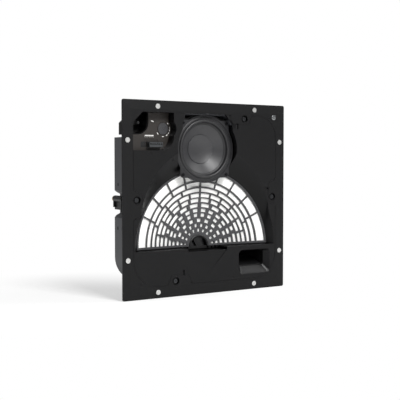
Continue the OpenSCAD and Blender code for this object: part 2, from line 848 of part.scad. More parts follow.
module guide_grid() {
    color("#5a5a5c") on_fan() difference() {
        half_turned() polygon([
            [fan_r, 0], [fan_r, grid_t], [dish_r, grid_t], [throat_r, dish(throat_r) + grid_t],
            [throat_r, dish(throat_r)], [dish_r - 1, dish(dish_r - 1)], [dish_r, -0.8], [fan_r - 0.6, -0.8]
        ]);
        fan_plate(-2, 60) difference() {
            union() for (row = guide_rows) window_row(row);
            translate([-fan_r, window_foot - fan_r]) square([2 * fan_r, fan_r]);
        }
        fan_rod(0, woofer_v, -5, 80, woofer_cut_r);
    }
}

module guide_mesh() {
    gap = grid_t + sheet_gap;
    color("#f4f4f2") on_fan() difference() {
        half_turned() polygon([
            [dish_r - 1.2, dish(dish_r - 1.2) + gap], [throat_r + 1, dish(throat_r + 1) + gap],
            [throat_r + 1, dish(throat_r + 1) + gap + mesh_t], [dish_r - 1.2, dish(dish_r - 1.2) + gap + mesh_t]
        ]);
        fan_plate(-2, 60) translate([-fan_r, -1]) square([2 * fan_r, foot_t + 1 + fit_gap]);
        fan_rod(0, woofer_v, -5, 80, woofer_cut_r);
    }
}

// Closed back of the fan: a dish behind the mesh, its rim, its foot and the driver's seat
module guide_horn() {
    inner = horn_gap;
    outer = horn_gap + horn_t;
    seat_back = driver_seat_w;
    color("#262628") on_fan() difference() {
        union() {
            half_turned() polygon([
                [fan_r, grid_t + 0.01], [fan_r, collar_w + fit_gap], [fan_r + 5, collar_w + fit_gap],
                [fan_r + 5, collar_w + fit_gap + horn_flange_t], [fan_r - 1, collar_w + fit_gap + horn_flange_t],
                [fan_r - 3, dish(dish_r) + outer],
                [throat_r, dish(throat_r) + outer], [0, dish(throat_r) + outer],
                [0, dish(throat_r) + inner], [throat_r, dish(throat_r) + inner],
                [dish_r - 1, dish(dish_r) + inner], [dish_r - 1, grid_t + 1],
                [dish_r, grid_t + 0.01]
            ]);
            // Foot along the straight edge
            linear_extrude(foot_t) polygon([
                [-dish_r, grid_t + 0.3], [-throat_r, dish(throat_r) + grid_t + 0.3],
                [-throat_r, dish(throat_r) + inner + 1], [throat_r, dish(throat_r) + inner + 1],
                [throat_r, dish(throat_r) + grid_t + 0.3], [dish_r, grid_t + 0.3],
                [dish_r, inner], [throat_r, dish(throat_r) + outer],
                [-throat_r, dish(throat_r) + outer], [-dish_r, inner]
            ]);
            // Its sill, which closes the slit above the shelf on both sides of the throat's pocket
            for (side = [-1, 1]) translate([0, 0, 0.2 - foot_t]) linear_extrude(foot_t + 0.3) polygon([
                [side * sill_x, dish(sill_x) + grid_t + 0.3], [side * dish_r, grid_t + 0.3],
                [side * dish_r, inner], [side * sill_x, dish(sill_x) + inner]
            ]);
            fan_rod(0, driver_v, dish(throat_r) + outer - 2, seat_back, driver_r - 8);
        }
        fan_rod(0, driver_v, 20, seat_back + 1, driver_bore_r);
        for (a = guide_screw_angles) rotate([0, -a, 0]) fan_rod(guide_screw_r, 0, 0, 20, 1.2);
        fan_rod(0, woofer_v, -5, 80, woofer_cut_r);
    }
}

module guide_screws() {
    flange_back = collar_w + fit_gap + horn_flange_t;
    color("#9a9a98") on_fan() for (a = guide_screw_angles) rotate([0, -a, 0]) {
        fan_rod(guide_screw_r, 0, collar_w - 3, flange_back, 0.98);
        fan_rod(guide_screw_r, 0, flange_back, flange_back + 1.6, 2.2);
    }
}

// Throat ring with a rounded lip, a wedge that parts its mouth in two, and a foot with lugs
module throat_cap() {
    lip_w = dish(throat_r) - 1.5;
    back_w = dish(throat_r) + horn_gap - fit_gap;
    foot_w = pocket_w - 0.6;
    bore = throat_r - 5;
    color("#101012") on_fan() {
        half_turned() {
            translate([bore, lip_w + 2.4]) square([4.8, back_w - lip_w - 2.4]);
            translate([throat_r - 2.6, lip_w + 2.4]) circle(2.4);
        }
        fan_plate(lip_w + 5, back_w) polygon([[-13, bore - 2], [13, bore - 2], [2.5, -2], [-2.5, -2]]);
        fan_plate(lip_w + 5, back_w) intersection() {
            difference() {
                circle(bore + 1);
                circle(bore - 4.5);
            }
            polygon([[0, 0], [-18, 40], [18, 40]]);
        }
        fan_plate(lip_w + 5, foot_w) translate([0.2 - throat_r, -5.4]) square([2 * throat_r - 0.4, 6.4]);
        fan_plate(lip_w + 6, foot_w) translate([20, -5.4]) square([29.4, 3]);
        fan_plate(lip_w + 1, foot_w) for (x = [25, 35, 44.4]) translate([x, -5.4]) square([5, 5]);
    }
}

module driver_front_plate() {
    color("#7d7f81") on_fan() fan_turned(driver_v) difference() {
        translate([driver_bore_r, driver_seat_w]) square([driver_r - driver_bore_r, driver_plate_t]);
        translate([0, driver_seat_w + driver_plate_t + dome_r + 0.2]) circle(dome_r + 6.6);
    }
}

module driver_diaphragm() {
    base = driver_seat_w + driver_plate_t;
    color("#b8bcc0") on_fan() fan_turned(driver_v) {
        intersection() {
            difference() {
                translate([0, base + dome_r + 0.2]) circle(dome_r + 6);
                translate([0, base + dome_r + 0.5]) circle(dome_r + 6);
            }
            translate([0, base - 8]) square([dome_r - 3.4, 14]);
        }
        translate([dome_r - 4, base]) square([7.8, 0.5]);
        translate([dome_r - 0.5, base]) square([0.5, 8]);
    }
}

module driver_magnet() {
    back = driver_seat_w + driver_plate_t;
    color("#2b2b2d") on_fan() fan_turned(driver_v) translate([dome_r + 4, back])
        square([driver_magnet_r - dome_r - 4, driver_magnet_t]);
}

module driver_yoke() {
    back = driver_seat_w + driver_plate_t + driver_magnet_t;
    color("#7d7f81") on_fan() fan_turned(driver_v) {
        translate([0, back]) square([driver_magnet_r, driver_yoke_t]);
        translate([0, back - driver_magnet_t + 6]) square([dome_r - pole_gap, driver_magnet_t - 5]);
    }
}

module driver_cover() {
    back = driver_seat_w + driver_plate_t + driver_magnet_t + driver_yoke_t;
    color("#1f1f21") on_fan() fan_turned(driver_v) difference() {
        translate([0, driver_seat_w + driver_plate_t])
            square([driver_r, back - driver_seat_w - driver_plate_t + driver_cover_t]);
        translate([0, driver_seat_w]) square([driver_magnet_r + fit_gap, back - driver_seat_w]);
    }
}

// Reflex duct whose floor climbs towards its inner end
module port_duct() {
    x0 = port_x - port_w / 2;
    x1 = port_x + port_w / 2;
    z0 = port_top_z - port_h;
    color("#2a2a2c") difference() {
        union() {
            plate(flare_d, port_end_d)
                rounded_box(x0 - port_wall, z0 - port_wall, x1 + port_wall, port_top_z + port_wall, port_r + port_wall);
            plate(flare_d, flare_d + 3) rounded_box(x0 - 5, z0 - 6, x1 + 5, port_top_z + 5, port_r + 2);
        }
        difference() {
            plate(flare_d - 1, port_end_d + 1) rounded_box(x0, z0, x1, port_top_z, port_r);
            translate([x0 - 1, 0, 0]) rotate([90, 0, 90]) linear_extrude(port_w + 2) polygon([
                [flare_d + 4 - flange_t, z0 - 1], [flare_d + 4 - flange_t, z0 + 2],
                [port_end_d - flange_t + 2, z0 + ramp_rise], [port_end_d - flange_t + 2, z0 - 1]
            ]);
        }
    }
}

module input_panel() {
    color("#4a4442") difference() {
        plate(panel_d, panel_d + panel_t) difference() {
            input_mouth(-fit_gap);
            cable_well(wall);
        }
        // Sunk ring round the selector, and the way through for its shaft
        rod(selector_x, selector_z, panel_d - 1, panel_d + 0.8, selector_d / 2 + 1.4);
        rod(selector_x, selector_z, panel_d - 1, panel_d + panel_t + 1, 3.5);
        plate(panel_d - 1, panel_d + panel_t + 1) translate([terminal_x, terminal_z])
            square([terminal_w - 4, terminal_h - 4], center = true);
        // Wire hole beside the terminals, and a narrow slot above them
        plate(panel_d - 1, panel_d + 1.4) translate([-147, 115]) square([11, 11], center = true);
        plate(panel_d - 1, panel_d + 1) translate([-130, 124]) square([34, 3], center = true);
    }
}

module selector_knob() {
    color("#6d6d70") difference() {
        union() {
            rod(selector_x, selector_z, panel_d - 1.2, panel_d + 0.6, selector_d / 2);
            rod(selector_x, selector_z, panel_d + 0.6, panel_d + panel_t + tub_floor_t + 4, 3);
        }
        translate([selector_x, panel_d - 1.2 - flange_t, selector_z]) rotate([0, -45, 0])
            translate([-7, -1, -0.8]) cube([15, 1.8, 1.6]);
    }
}

module selector_switch() {
    back = panel_d + panel_t + tub_floor_t;
    color("#20242a") difference() {
        union() {
            rod(selector_x, selector_z, back, back + 9, 14);
            for (a = [0:60:300]) translate([selector_x, back + 9 - flange_t, selector_z]) rotate([0, a, 0])
                translate([10, 0, -1]) cube([0.8, 4, 2]);
        }
        rod(selector_x, selector_z, back - 1, back + 5, 3 + running_gap);
    }
}

module terminal_socket() {
    color("#1e1f1e") difference() {
        union() {
            plate(panel_d - 4, panel_d) translate([terminal_x, terminal_z])
                square([terminal_w, terminal_h], center = true);
            plate(panel_d, panel_d + panel_t + tub_floor_t + 4) translate([terminal_x, terminal_z])
                square([terminal_w - 5, terminal_h - 5], center = true);
        }
        plate(panel_d - 5, panel_d - 1) translate([terminal_x, terminal_z])
            square([terminal_w - 2, terminal_h - 2], center = true);
    }
}

module terminal_plug() {
    color("#55585a") difference() {
        plate(panel_d - 12, panel_d - 1) translate([terminal_x, terminal_z])
            square([terminal_w - 2 - fit_gap, terminal_h - 2 - fit_gap], center = true);
        for (i = [-2.5:1:2.5]) {
            rod(terminal_x + i * terminal_pitch, terminal_z + 1.2, panel_d - 13, panel_d - 4, 1.6);
            translate([terminal_x + i * terminal_pitch, panel_d - 8.5 - flange_t, terminal_z - 8])
                cylinder(r = 1.5, h = 5);
        }
    }
}

module cable_saddle() {
    color("#3c3c3e") difference() {
        plate(well_d - 6, well_d) translate([-152, 162]) square([24, 9], center = true);
        for (x = [-1, 1]) rod(-152 + x * 9, 162, well_d - 7, well_d + 1, 1.6);
        translate([-152, well_d - flange_t, 150]) cylinder(r = 4.2, h = 24);
    }
}

module saddle_screws() {
    color("#9a9a98") for (x = [-1, 1]) {
        rod(-152 + x * 9, 162, well_d - 8, well_d - 6, 2.8);
        rod(-152 + x * 9, 162, well_d - 6, well_d, 1.5);
    }
}

module transformer_core() {
    color("#5f6468") difference() {
        translate([core_x - core_w / 2, can_inner_back - core_t, core_z - core_h / 2])
            cube([core_w, core_t, core_h]);
        for (x = [-1, 1])
            translate([core_x + x * 11 - 5, can_inner_back - core_t - 1, core_z - core_h / 2 + 7])
                cube([10, core_t + 2, core_h - 14]);
    }
}

module transformer_coil() {
    color("#a88b3c") difference() {
        translate([core_x - 15, can_inner_back - core_t - 6, core_z - core_h / 2 + 8])
            cube([30, core_t + 6, core_h - 16]);
        translate([core_x - 6 - fit_gap, can_inner_back - core_t - fit_gap, core_z - core_h / 2])
            cube([12 + 2 * fit_gap, core_t + 6, core_h]);
    }
}

module crossover_board() {
    color("#1f4a34") {
        translate([board_x - board_w / 2, board_y - 1.6, board_z - board_h / 2])
            cube([board_w, 1.6, board_h]);
        for (x = [-1, 1], z = [-1, 1])
            translate([board_x + x * (board_w / 2 - 5), board_y, board_z + z * (board_h / 2 - 5)])
                rotate([-90, 0, 0]) cylinder(r = 3, h = can_inner_back - board_y);
    }
}

module crossover_capacitors() {
    color("#27408b") for (z = [-22, -4]) translate([board_x - 14, board_y - 1.6 - 7, board_z + z])
        rotate([0, 90, 0]) cylinder(r = 7, h = 32);
}

module crossover_inductor() {
    color("#b0622c") translate([board_x, board_y - 1.6, board_z + 20]) rotate([90, 0, 0]) difference() {
        cylinder(r = 13, h = 14);
        translate([0, 0, -1]) cylinder(r = 5, h = 16);
    }
}

module clamp_screw(c) {
    color("#8f9193") at_clamp(c) difference() {
        union() {
            rod(0, 0, counterbore_d - screw_head_t, counterbore_d, screw_head_r);
            rod(0, 0, counterbore_d, flange_t + screw_tip_y, screw_r);
        }
        for (t = [45, 135]) translate([0, counterbore_d - screw_head_t - flange_t, 0]) rotate([0, t, 0])
            translate([-2.8, -1, -0.55]) cube([5.6, 2.8, 1.1]);
    }
}

// Threaded bush that climbs the screw and carries the arm
module clamp_nut(c) {
    y0 = flange_t + arm_rest;
    color("#c4a25a") at_clamp(c) difference() {
        union() {
            rod(0, 0, y0 + 0.4, y0 + arm_h + fit_gap, nut_r);
            rod(0, 0, y0 + arm_h + fit_gap, y0 + arm_h + fit_gap + nut_flange_t, nut_flange_r);
        }
        rod(0, 0, y0 - 1, y0 + arm_h + nut_flange_t + 2, screw_r + running_gap);
    }
}

// Dog-leg arm: a hub, a ribbed bar and a toothed foot that bears on the ceiling
module clamp_arm(c) {
    y0 = flange_t + arm_rest;
    color("#151517") at_clamp(c) difference() {
        union() {
            rod(0, 0, y0, y0 + arm_h, hub_r);
            translate([-arm_w / 2, arm_rest, -arm_l]) cube([arm_w, 5, arm_l]);
            translate([-1.6, arm_rest, -arm_l + 4]) cube([3.2, arm_h, arm_l - 4]);
            translate([-arm_w / 2, arm_rest + arm_h - 4, -arm_l + 9]) cube([arm_w, 4, arm_l - 9]);
        }
        rod(0, 0, y0 - 1, y0 + arm_h + 1, nut_r + running_gap);
        for (z = [-arm_l + 3:4:-9]) translate([-arm_w / 2 - 1, arm_rest - 1, z]) cube([arm_w + 2, 1.8, 1.6]);
    }
}

front_frame();
grille_magnets();
rear_can();
can_gasket();
can_screws();
damping_pad();
safety_lug();
woofer_basket();
woofer_gasket();
woofer_surround();
woofer_cone();
woofer_dust_cap();
woofer_voice_coil();
woofer_spider();
woofer_top_plate();
woofer_magnet();
woofer_yoke();
woofer_screws();
woofer_terminals();
guide_grid();
guide_mesh();
guide_horn();
guide_screws();
throat_cap();
driver_front_plate();
driver_diaphragm();
driver_magnet();
driver_yoke();
driver_cover();
port_duct();
input_panel();
selector_knob();
selector_switch();
terminal_socket();
terminal_plug();
cable_saddle();
saddle_screws();
transformer_core();
transformer_coil();
crossover_board();
crossover_capacitors();
crossover_inductor();
clamp_screw(CLAMP_LEFT);  // clamp_screw_left
clamp_screw(CLAMP_RIGHT);  // clamp_screw_right
clamp_screw(CLAMP_TOP);  // clamp_screw_top
clamp_screw(CLAMP_BOTTOM);  // clamp_screw_bottom
clamp_nut(CLAMP_LEFT);  // clamp_nut_left
clamp_nut(CLAMP_RIGHT);  // clamp_nut_right
clamp_nut(CLAMP_TOP);  // clamp_nut_top
clamp_nut(CLAMP_BOTTOM);  // clamp_nut_bottom
clamp_arm(CLAMP_LEFT);  // clamp_arm_left
clamp_arm(CLAMP_RIGHT);  // clamp_arm_right
clamp_arm(CLAMP_TOP);  // clamp_arm_top
clamp_arm(CLAMP_BOTTOM);  // clamp_arm_bottom
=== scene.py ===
import json
import math

import bpy
import numpy as np
from bpy.props import FloatProperty, FloatVectorProperty, IntProperty, PointerProperty
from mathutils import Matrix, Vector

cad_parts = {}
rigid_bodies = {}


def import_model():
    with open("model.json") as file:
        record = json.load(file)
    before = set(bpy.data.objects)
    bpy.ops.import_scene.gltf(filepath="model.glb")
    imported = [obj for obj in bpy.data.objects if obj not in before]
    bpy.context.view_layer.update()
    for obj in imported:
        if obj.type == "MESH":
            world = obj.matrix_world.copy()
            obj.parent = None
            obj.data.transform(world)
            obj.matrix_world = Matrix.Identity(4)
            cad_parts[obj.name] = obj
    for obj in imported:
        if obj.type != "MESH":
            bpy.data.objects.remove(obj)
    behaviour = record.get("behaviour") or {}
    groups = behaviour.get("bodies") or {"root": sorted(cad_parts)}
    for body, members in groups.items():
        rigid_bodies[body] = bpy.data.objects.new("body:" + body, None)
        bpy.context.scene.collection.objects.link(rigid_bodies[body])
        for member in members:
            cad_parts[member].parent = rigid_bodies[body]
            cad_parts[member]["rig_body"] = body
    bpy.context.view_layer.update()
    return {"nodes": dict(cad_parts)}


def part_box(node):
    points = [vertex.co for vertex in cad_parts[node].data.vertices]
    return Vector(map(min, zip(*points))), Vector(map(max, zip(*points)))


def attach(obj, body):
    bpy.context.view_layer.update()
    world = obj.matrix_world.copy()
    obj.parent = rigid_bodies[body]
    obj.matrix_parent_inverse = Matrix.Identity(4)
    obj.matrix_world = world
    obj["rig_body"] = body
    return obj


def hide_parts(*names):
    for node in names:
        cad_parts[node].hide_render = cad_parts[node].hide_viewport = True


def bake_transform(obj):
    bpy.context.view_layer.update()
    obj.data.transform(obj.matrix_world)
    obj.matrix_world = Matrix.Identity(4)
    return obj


bl_info = {
    "name": "Ceiling speaker finish",
    "version": (1, 0, 0),
    "blender": (4, 5, 0),
    "location": "3D View > Sidebar > Speaker",
    "description": "Finishes, cone, cloth, pad and stage of a square ceiling speaker without its grille",
    "category": "Object",
}

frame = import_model()

MM = 0.001
FRONT = 0.004


def tone(text):
    """A colour written as six hexadecimal digits, as the linear red, green and blue that shaders use."""
    part = np.array([int(text[i : i + 2], 16) for i in (0, 2, 4)]) / 255.0
    low = part / 12.92
    high = ((part + 0.055) / 1.055) ** 2.4
    return tuple(float(x) for x in np.where(part <= 0.04045, low, high))


# Sizes and colours that a user may change


def length(name, description, mm, low, high):
    """A size in millimetres as a Blender length with its range."""
    return FloatProperty(
        name=name,
        description=description,
        default=mm * MM,
        min=low * MM,
        max=high * MM,
        unit="LENGTH",
        subtype="DISTANCE",
    )


def colour(name, description, text):
    """A colour that shows as the given digits."""
    return FloatVectorProperty(
        name=name, description=description, default=tone(text), size=3, min=0, max=1, subtype="COLOR"
    )


class SpeakerSizes(bpy.types.PropertyGroup):
    """Sizes of the pieces made here, which follow the built part's own."""

    woofer_height: length("Woofer height", "Height of the woofer's axis above the middle", 106.7, 100, 112)
    roll_outer: length("Roll outer radius", "Outer radius of the half-round surround", 64.7, 60, 66)
    roll_inner: length("Roll inner radius", "Inner radius of the half-round surround", 57, 52, 58)
    flap_inner: length("Glue flap radius", "Inner radius of the surround's flap on the cone", 53, 50, 56)
    frame_depth: length("Woofer frame depth", "Depth of its frame behind the front plane", 13, 10, 15)
    cone_height: length("Cone height", "Depth of the cone from rim to voice coil", 23, 16, 28)
    former: length("Former radius", "Radius of the voice coil's former", 19, 14, 20)
    cap: length("Dust cap radius", "Radius of the concave dust cap", 31.5, 24, 34)
    fan_height: length("Fan height", "Height of the fan's centre, below the middle", -104.5, -106, -104)
    fan_radius: length("Fan radius", "Outer radius of the fan's rim", 167, 163, 168)
    fan_depth: length("Fan depth", "Depth of the rim's plane at the fan's centre", 14, 12, 18)
    fan_tilt: FloatProperty(
        name="Fan tilt",
        description="Angle by which the fan leans back at the top",
        default=math.radians(4.57),
        unit="ROTATION",
        subtype="ANGLE",
    )
    throat: length("Throat radius", "Radius of the fan's throat", 25.5, 22, 28)
    panel_depth: length("Panel depth", "Depth of the input panel behind the front plane", 22, 18, 24)
    weave: length("Weave pitch", "Distance between threads of the acoustic cloth", 0.9, 0.3, 2)
    steps: IntProperty(name="Steps", description="Steps of a full turn", default=144, min=48, max=256)


class SpeakerColours(bpy.types.PropertyGroup):
    """Colours of the finishes."""

    frame: colour("Frame", "Moulded front frame", "0e0e0f")
    can: colour("Can", "Painted rear can", "333437")
    grid: colour("Grid", "Moulded phase guide", "3c3c3e")
    cloth: colour("Cloth", "Acoustic cloth behind the guide", "fcfcfa")
    cone: colour("Cone", "Polymer cone", "303032")
    rubber: colour("Rubber", "Surround", "1c1c1e")
    basket: colour("Woofer frame", "Painted woofer frame", "1c1c1e")
    panel: colour("Panel", "Input panel", "2b2724")
    nickel: colour("Nickel", "Plated magnets", "e2e2e0")
    steel: colour("Steel", "Screws and pole pieces", "a6a8aa")
    clamp: colour("Clamp screws", "Dark plated clamp screws", "4a4b4d")
    black: colour("Black", "Throat, clamps, covers and black screws", "0c0c0d")
    print: colour("Print", "Marks printed on the input panel", "f4f2ee")
    copper: colour("Copper", "Windings", "a5622e")
    brass: colour("Brass", "Threaded clamp bushes", "b9964c")


# Node maths


class Wire:
    """A socket of a material's tree, on which plain Python arithmetic adds Math nodes."""

    def __init__(self, finish, socket):
        self.finish = finish
        self.socket = socket

    def _math(self, operation, left, right=None):
        inputs = {0: left} if right is None else {0: left, 1: right}
        return self.finish.node("ShaderNodeMath", {"operation": operation}, inputs)

    def __add__(self, other):
        return self._math("ADD", self, other)

    def __radd__(self, other):
        return self._math("ADD", other, self)

    def __sub__(self, other):
        return self._math("SUBTRACT", self, other)

    def __rsub__(self, other):
        return self._math("SUBTRACT", other, self)

    def __mul__(self, other):
        return self._math("MULTIPLY", self, other)

    def __rmul__(self, other):
        return self._math("MULTIPLY", other, self)

    def __pow__(self, other):
        return self._math("POWER", self, other)

    def __abs__(self):
        return self._math("ABSOLUTE", self)

    def sine(self):
        return self._math("SINE", self)

    def most(self, other):
        return self._math("MAXIMUM", self, other)

    def step(self, low, high):
        """0 below low and 1 above high, with a smooth change between them."""
        settings = {"interpolation_type": "SMOOTHSTEP", "clamp": True}
        inputs = {"Value": self, "From Min": low, "From Max": high}
        return self.finish.node("ShaderNodeMapRange", settings, inputs)


class Finish:
    """One material: node() adds any node, and surface() ends it in a Principled shader."""

    def __init__(self, name):
        self.material = bpy.data.materials.new(name)
        self.material.use_nodes = True
        self.tree = self.material.node_tree
        self.tree.nodes.clear()
        self._place = None

    def node(self, kind, settings=None, inputs=None, output=0):
        """Adds a node of a kind, sets it up, fills or links its sockets, and returns one output."""
        made = self.tree.nodes.new(kind)
        for key, value in (settings or {}).items():
            setattr(made, key, value)
        for key, value in (inputs or {}).items():
            if isinstance(value, Wire):
                self.tree.links.new(value.socket, made.inputs[key])
            else:
                made.inputs[key].default_value = value
        return Wire(self, made.outputs[output]) if len(made.outputs) else None

    def place(self):
        """The point on the object, in metres."""
        if self._place is None:
            self._place = self.node("ShaderNodeTexCoord", output="Object")
        return self._place

    def axes(self, centre=(0, 0, 0)):
        """The point's X, Y and Z from a centre."""
        settings = {"vector_type": "TEXTURE"}
        moved = self.node("ShaderNodeMapping", settings, {"Vector": self.place(), "Location": centre})
        split = self.node("ShaderNodeSeparateXYZ", None, {"Vector": moved})
        outputs = split.socket.node.outputs
        return [Wire(self, outputs[i]) for i in range(3)]

    def noise(self, scale, detail=2.0, rough=0.5, stretch=(1, 1, 1)):
        """Cloudy values round a half, so many per metre, drawn out along an axis where stretch is small."""
        place = self.place()
        if stretch != (1, 1, 1):
            place = self.node("ShaderNodeVectorMath", {"operation": "MULTIPLY"}, {0: place, 1: stretch})
        inputs = {"Vector": place, "Scale": scale, "Detail": detail, "Roughness": rough}
        return self.node("ShaderNodeTexNoise", None, inputs)

    def cells(self, scale):
        """Distance to the nearest of many scattered points, so many per metre."""
        return self.node("ShaderNodeTexVoronoi", None, {"Vector": self.place(), "Scale": scale})

    def mixed(self, factor, first, second):
        """One colour turned into another by a factor."""
        first = (*first, 1.0) if isinstance(first, tuple) else first
        second = (*second, 1.0) if isinstance(second, tuple) else second
        return self.node(
            "ShaderNodeMix", {"data_type": "RGBA"}, {0: factor, 6: first, 7: second}, output=2
        )

    def shaded(self, base, factor, low, high):
        """A base colour made darker or lighter: low and high are its strength where the factor is 0 and 1."""
        first = tuple(min(1.0, c * low) for c in base)
        second = tuple(min(1.0, c * high) for c in base)
        return self.mixed(factor, first, second)

    def bump(self, height, distance, strength):
        """A normal that leans as a height map of the given depth in metres does."""
        inputs = {"Height": height, "Distance": distance, "Strength": strength}
        return self.node("ShaderNodeBump", None, inputs)

    def surface(self, **sockets):
        """The Principled shader, its sockets named with underscores."""
        inputs = {key.replace("_", " "): value for key, value in sockets.items()}
        shader = self.node("ShaderNodeBsdfPrincipled", None, inputs)
        self.node("ShaderNodeOutputMaterial", None, {"Surface": shader})
        return self.material


def opaque(value):
    """A property's colour as a tuple of three numbers."""
    return tuple(float(x) for x in value)


def moulded(name, base, rough, grain=0.00004):
    """Moulded plastic: spark-eroded grain, slow flow clouds in its shade and a patchy gloss."""
    f = Finish(name)
    clouds = f.noise(14, 3)
    grain_map = f.noise(1500, 2, 0.6)
    speck = f.noise(420, 1)
    tint = f.shaded(base, clouds * 0.7 + speck * 0.3, 0.86, 1.14)
    gloss = rough - 0.05 + clouds * 0.06 + grain_map * 0.05
    normal = f.bump(grain_map + speck * 0.4, grain, 0.8)
    return f.surface(Base_Color=tint, Roughness=gloss, Normal=normal)


def front_skin(name, base):
    """The front's moulded plastic: fine grain on the flat face, and smoother in its recesses, which carry
    painted shade: darker and bluer where sunk, and near black in the innermost pits.
    """
    f = Finish(name)
    x, y, z = f.axes()
    clouds = f.noise(11, 3)
    grain_map = f.noise(1500, 2, 0.6)
    # Depth masks: sunk sets the recesses' smoother gloss, finer grain and painted shade; the next mask sets
    # the near-black painted shade of the innermost pits
    sunk = y.step(-0.0032, -0.0012)
    pit_shade_mask = y.step(-0.001, 0.012)
    face = f.shaded(base, clouds, 0.9, 1.12)
    # Painted shade: the sunk bowl is drawn darker and bluer than the face
    bowl = f.shaded(tuple(c * k for c, k in zip(base, (0.5, 0.53, 0.6))), clouds, 0.9, 1.1)
    # Painted shade: the innermost pits are drawn near black
    pit = tuple(c * 0.22 for c in base)
    tint = f.mixed(pit_shade_mask, f.mixed(sunk, face, bowl), pit)
    gloss = 0.4 + clouds * 0.05 + grain_map * 0.05 - sunk * 0.1
    normal = f.bump(grain_map * (1 - sunk * 0.7), 0.00004, 0.8)
    return f.surface(Base_Color=tint, Roughness=gloss, Normal=normal, Specular_IOR_Level=0.22)


def painted(name, base, rough=0.45, peel=520, height=0.00006):
    """Stoved powder paint on steel: orange peel, fine metal flecks and a slightly uneven gloss."""
    f = Finish(name)
    skin = f.noise(peel, 2, 0.45)
    cloud = f.noise(9, 2)
    fleck = f.cells(2600).step(0.0, 0.35)
    tint = f.mixed(fleck * 0.1 + 0.02, tuple(min(1.0, c * 1.5) for c in base), base)
    tint = f.mixed(cloud * 0.5, tint, tuple(c * 0.8 for c in base))
    gloss = rough - 0.04 + skin * 0.08
    return f.surface(Base_Color=tint, Roughness=gloss, Normal=f.bump(skin, height, 0.7), Metallic=0.15)


def plated(name, base, rough, brushed=(1, 1, 1)):
    """Bare or plated metal: drawn or tumbled scratches, and stains that take the edge off its shine."""
    f = Finish(name)
    scratch = f.noise(900, 4, 0.65, brushed)
    stain = f.noise(60, 3)
    tint = f.shaded(base, stain, 0.84, 1.08)
    gloss = rough - 0.06 + scratch * 0.16 + stain * 0.06
    return f.surface(Base_Color=tint, Metallic=1.0, Roughness=gloss, Normal=f.bump(scratch, 0.00002, 0.6))


def rubber(name, base, centre):
    """Moulded rubber: a fine matt skin with the faint rings of its turned mould."""
    f = Finish(name)
    x, y, z = f.axes(centre)
    radius = (x * x + z * z) ** 0.5
    rings = (radius * (2 * math.pi / 0.0011)).sine() * 0.5 + 0.5
    skin = f.noise(1800, 2)
    bloom = f.noise(35, 3)
    tint = f.shaded(base, bloom, 0.85, 1.2)
    gloss = 0.4 + bloom * 0.12 + skin * 0.05
    return f.surface(Base_Color=tint, Roughness=gloss, Normal=f.bump(rings * 0.5 + skin, 0.00003, 0.6))


def cone_polymer(name, base, centre, rough):
    """Injected cone: satin polymer with mica flecks, and rings left by the turned mould."""
    f = Finish(name)
    x, y, z = f.axes(centre)
    radius = (x * x + z * z) ** 0.5
    rings = (radius * (2 * math.pi / 0.0021)).sine() * 0.5 + 0.5
    fine = f.noise(1300, 2)
    fleck = f.cells(1900).step(0.05, 0.3)
    tint = f.mixed(fleck * 0.85 + 0.15, tuple(min(1.0, c * 1.7) for c in base), base)
    gloss = rough + fine * 0.08 + rings * 0.03
    normal = f.bump(rings * 0.35 + fine, 0.00002, 0.6)
    return f.surface(Base_Color=tint, Roughness=gloss, Normal=normal, Specular_IOR_Level=0.6)


def woven(name, base, pitch, gap=0.55):
    """Plain weave on X and Z: warp and weft are two waves, each on top in turn, with darker gaps between."""
    f = Finish(name)
    x, y, z = f.axes()
    turns = 2 * math.pi / pitch
    warp = abs((x * (turns / 2)).sine())
    weft = abs((z * (turns / 2)).sine())
    over = ((x * (turns / 2)).sine() * (z * (turns / 2)).sine()).step(-0.2, 0.2)
    height = warp * over + weft * (1 - over)
    slub = f.noise(240, 3)
    fuzz = f.noise(2600, 2)
    tint = f.shaded(base, height.step(0.1, 0.7) * 0.8 + slub * 0.2, gap, 1.02)
    return f.surface(
        Base_Color=tint,
        Roughness=0.85 + fuzz * 0.1,
        Normal=f.bump(height + fuzz * 0.3, 0.00018, 0.6),
        Sheen_Weight=0.2,
        Sheen_Roughness=0.5,
    )


def felt(name, base):
    """Needled wadding: tangled fibres in two sizes over a soft uneven body."""
    f = Finish(name)
    tangle = f.noise(700, 6, 0.7, (1, 1, 0.35))
    cross = f.noise(650, 6, 0.7, (0.35, 1, 1))
    body = f.noise(60, 3)
    hair = tangle.most(cross)
    tint = f.shaded(base, hair * 0.6 + body * 0.4, 0.6, 1.3)
    normal = f.bump(hair + body, 0.0004, 0.8)
    return f.surface(Base_Color=tint, Roughness=0.93 + body * 0.05, Normal=normal, Sheen_Weight=0.4)


def foam(name, base):
    """Closed-cell foam strip: small round pits."""
    f = Finish(name)
    pits = f.cells(900).step(0.1, 0.6)
    tint = f.shaded(base, pits, 1.5, 0.8)
    return f.surface(Base_Color=tint, Roughness=0.85 + pits * 0.1, Normal=f.bump(pits, 0.00015, 0.6))


def wound(name, base, centre, pitch):
    """Enamelled wire laid turn by turn along Y: round ridges with a dark line between turns."""
    f = Finish(name)
    x, y, z = f.axes(centre)
    ridge = abs((y * (math.pi / pitch)).sine())
    wander = f.noise(80, 2)
    tint = f.shaded(base, ridge * 0.8 + wander * 0.2, 0.35, 1.15)
    gloss = 0.3 + (1 - ridge) * 0.3
    normal = f.bump(ridge, pitch * 0.35, 0.8)
    return f.surface(Base_Color=tint, Metallic=0.85, Roughness=gloss, Normal=normal, Coat_Weight=0.3)


def ferrite(name, base):
    """Pressed ceramic magnet: dark, slightly crystalline, with ground faces."""
    f = Finish(name)
    crystals = f.cells(1400).step(0.0, 0.5)
    ground = f.noise(500, 3, 0.6, (1, 1, 0.1))
    tint = f.shaded(base, crystals * 0.6 + ground * 0.4, 0.7, 1.3)
    normal = f.bump(ground + crystals, 0.00004, 0.7)
    return f.surface(Base_Color=tint, Roughness=0.42 + ground * 0.2, Metallic=0.3, Normal=normal)


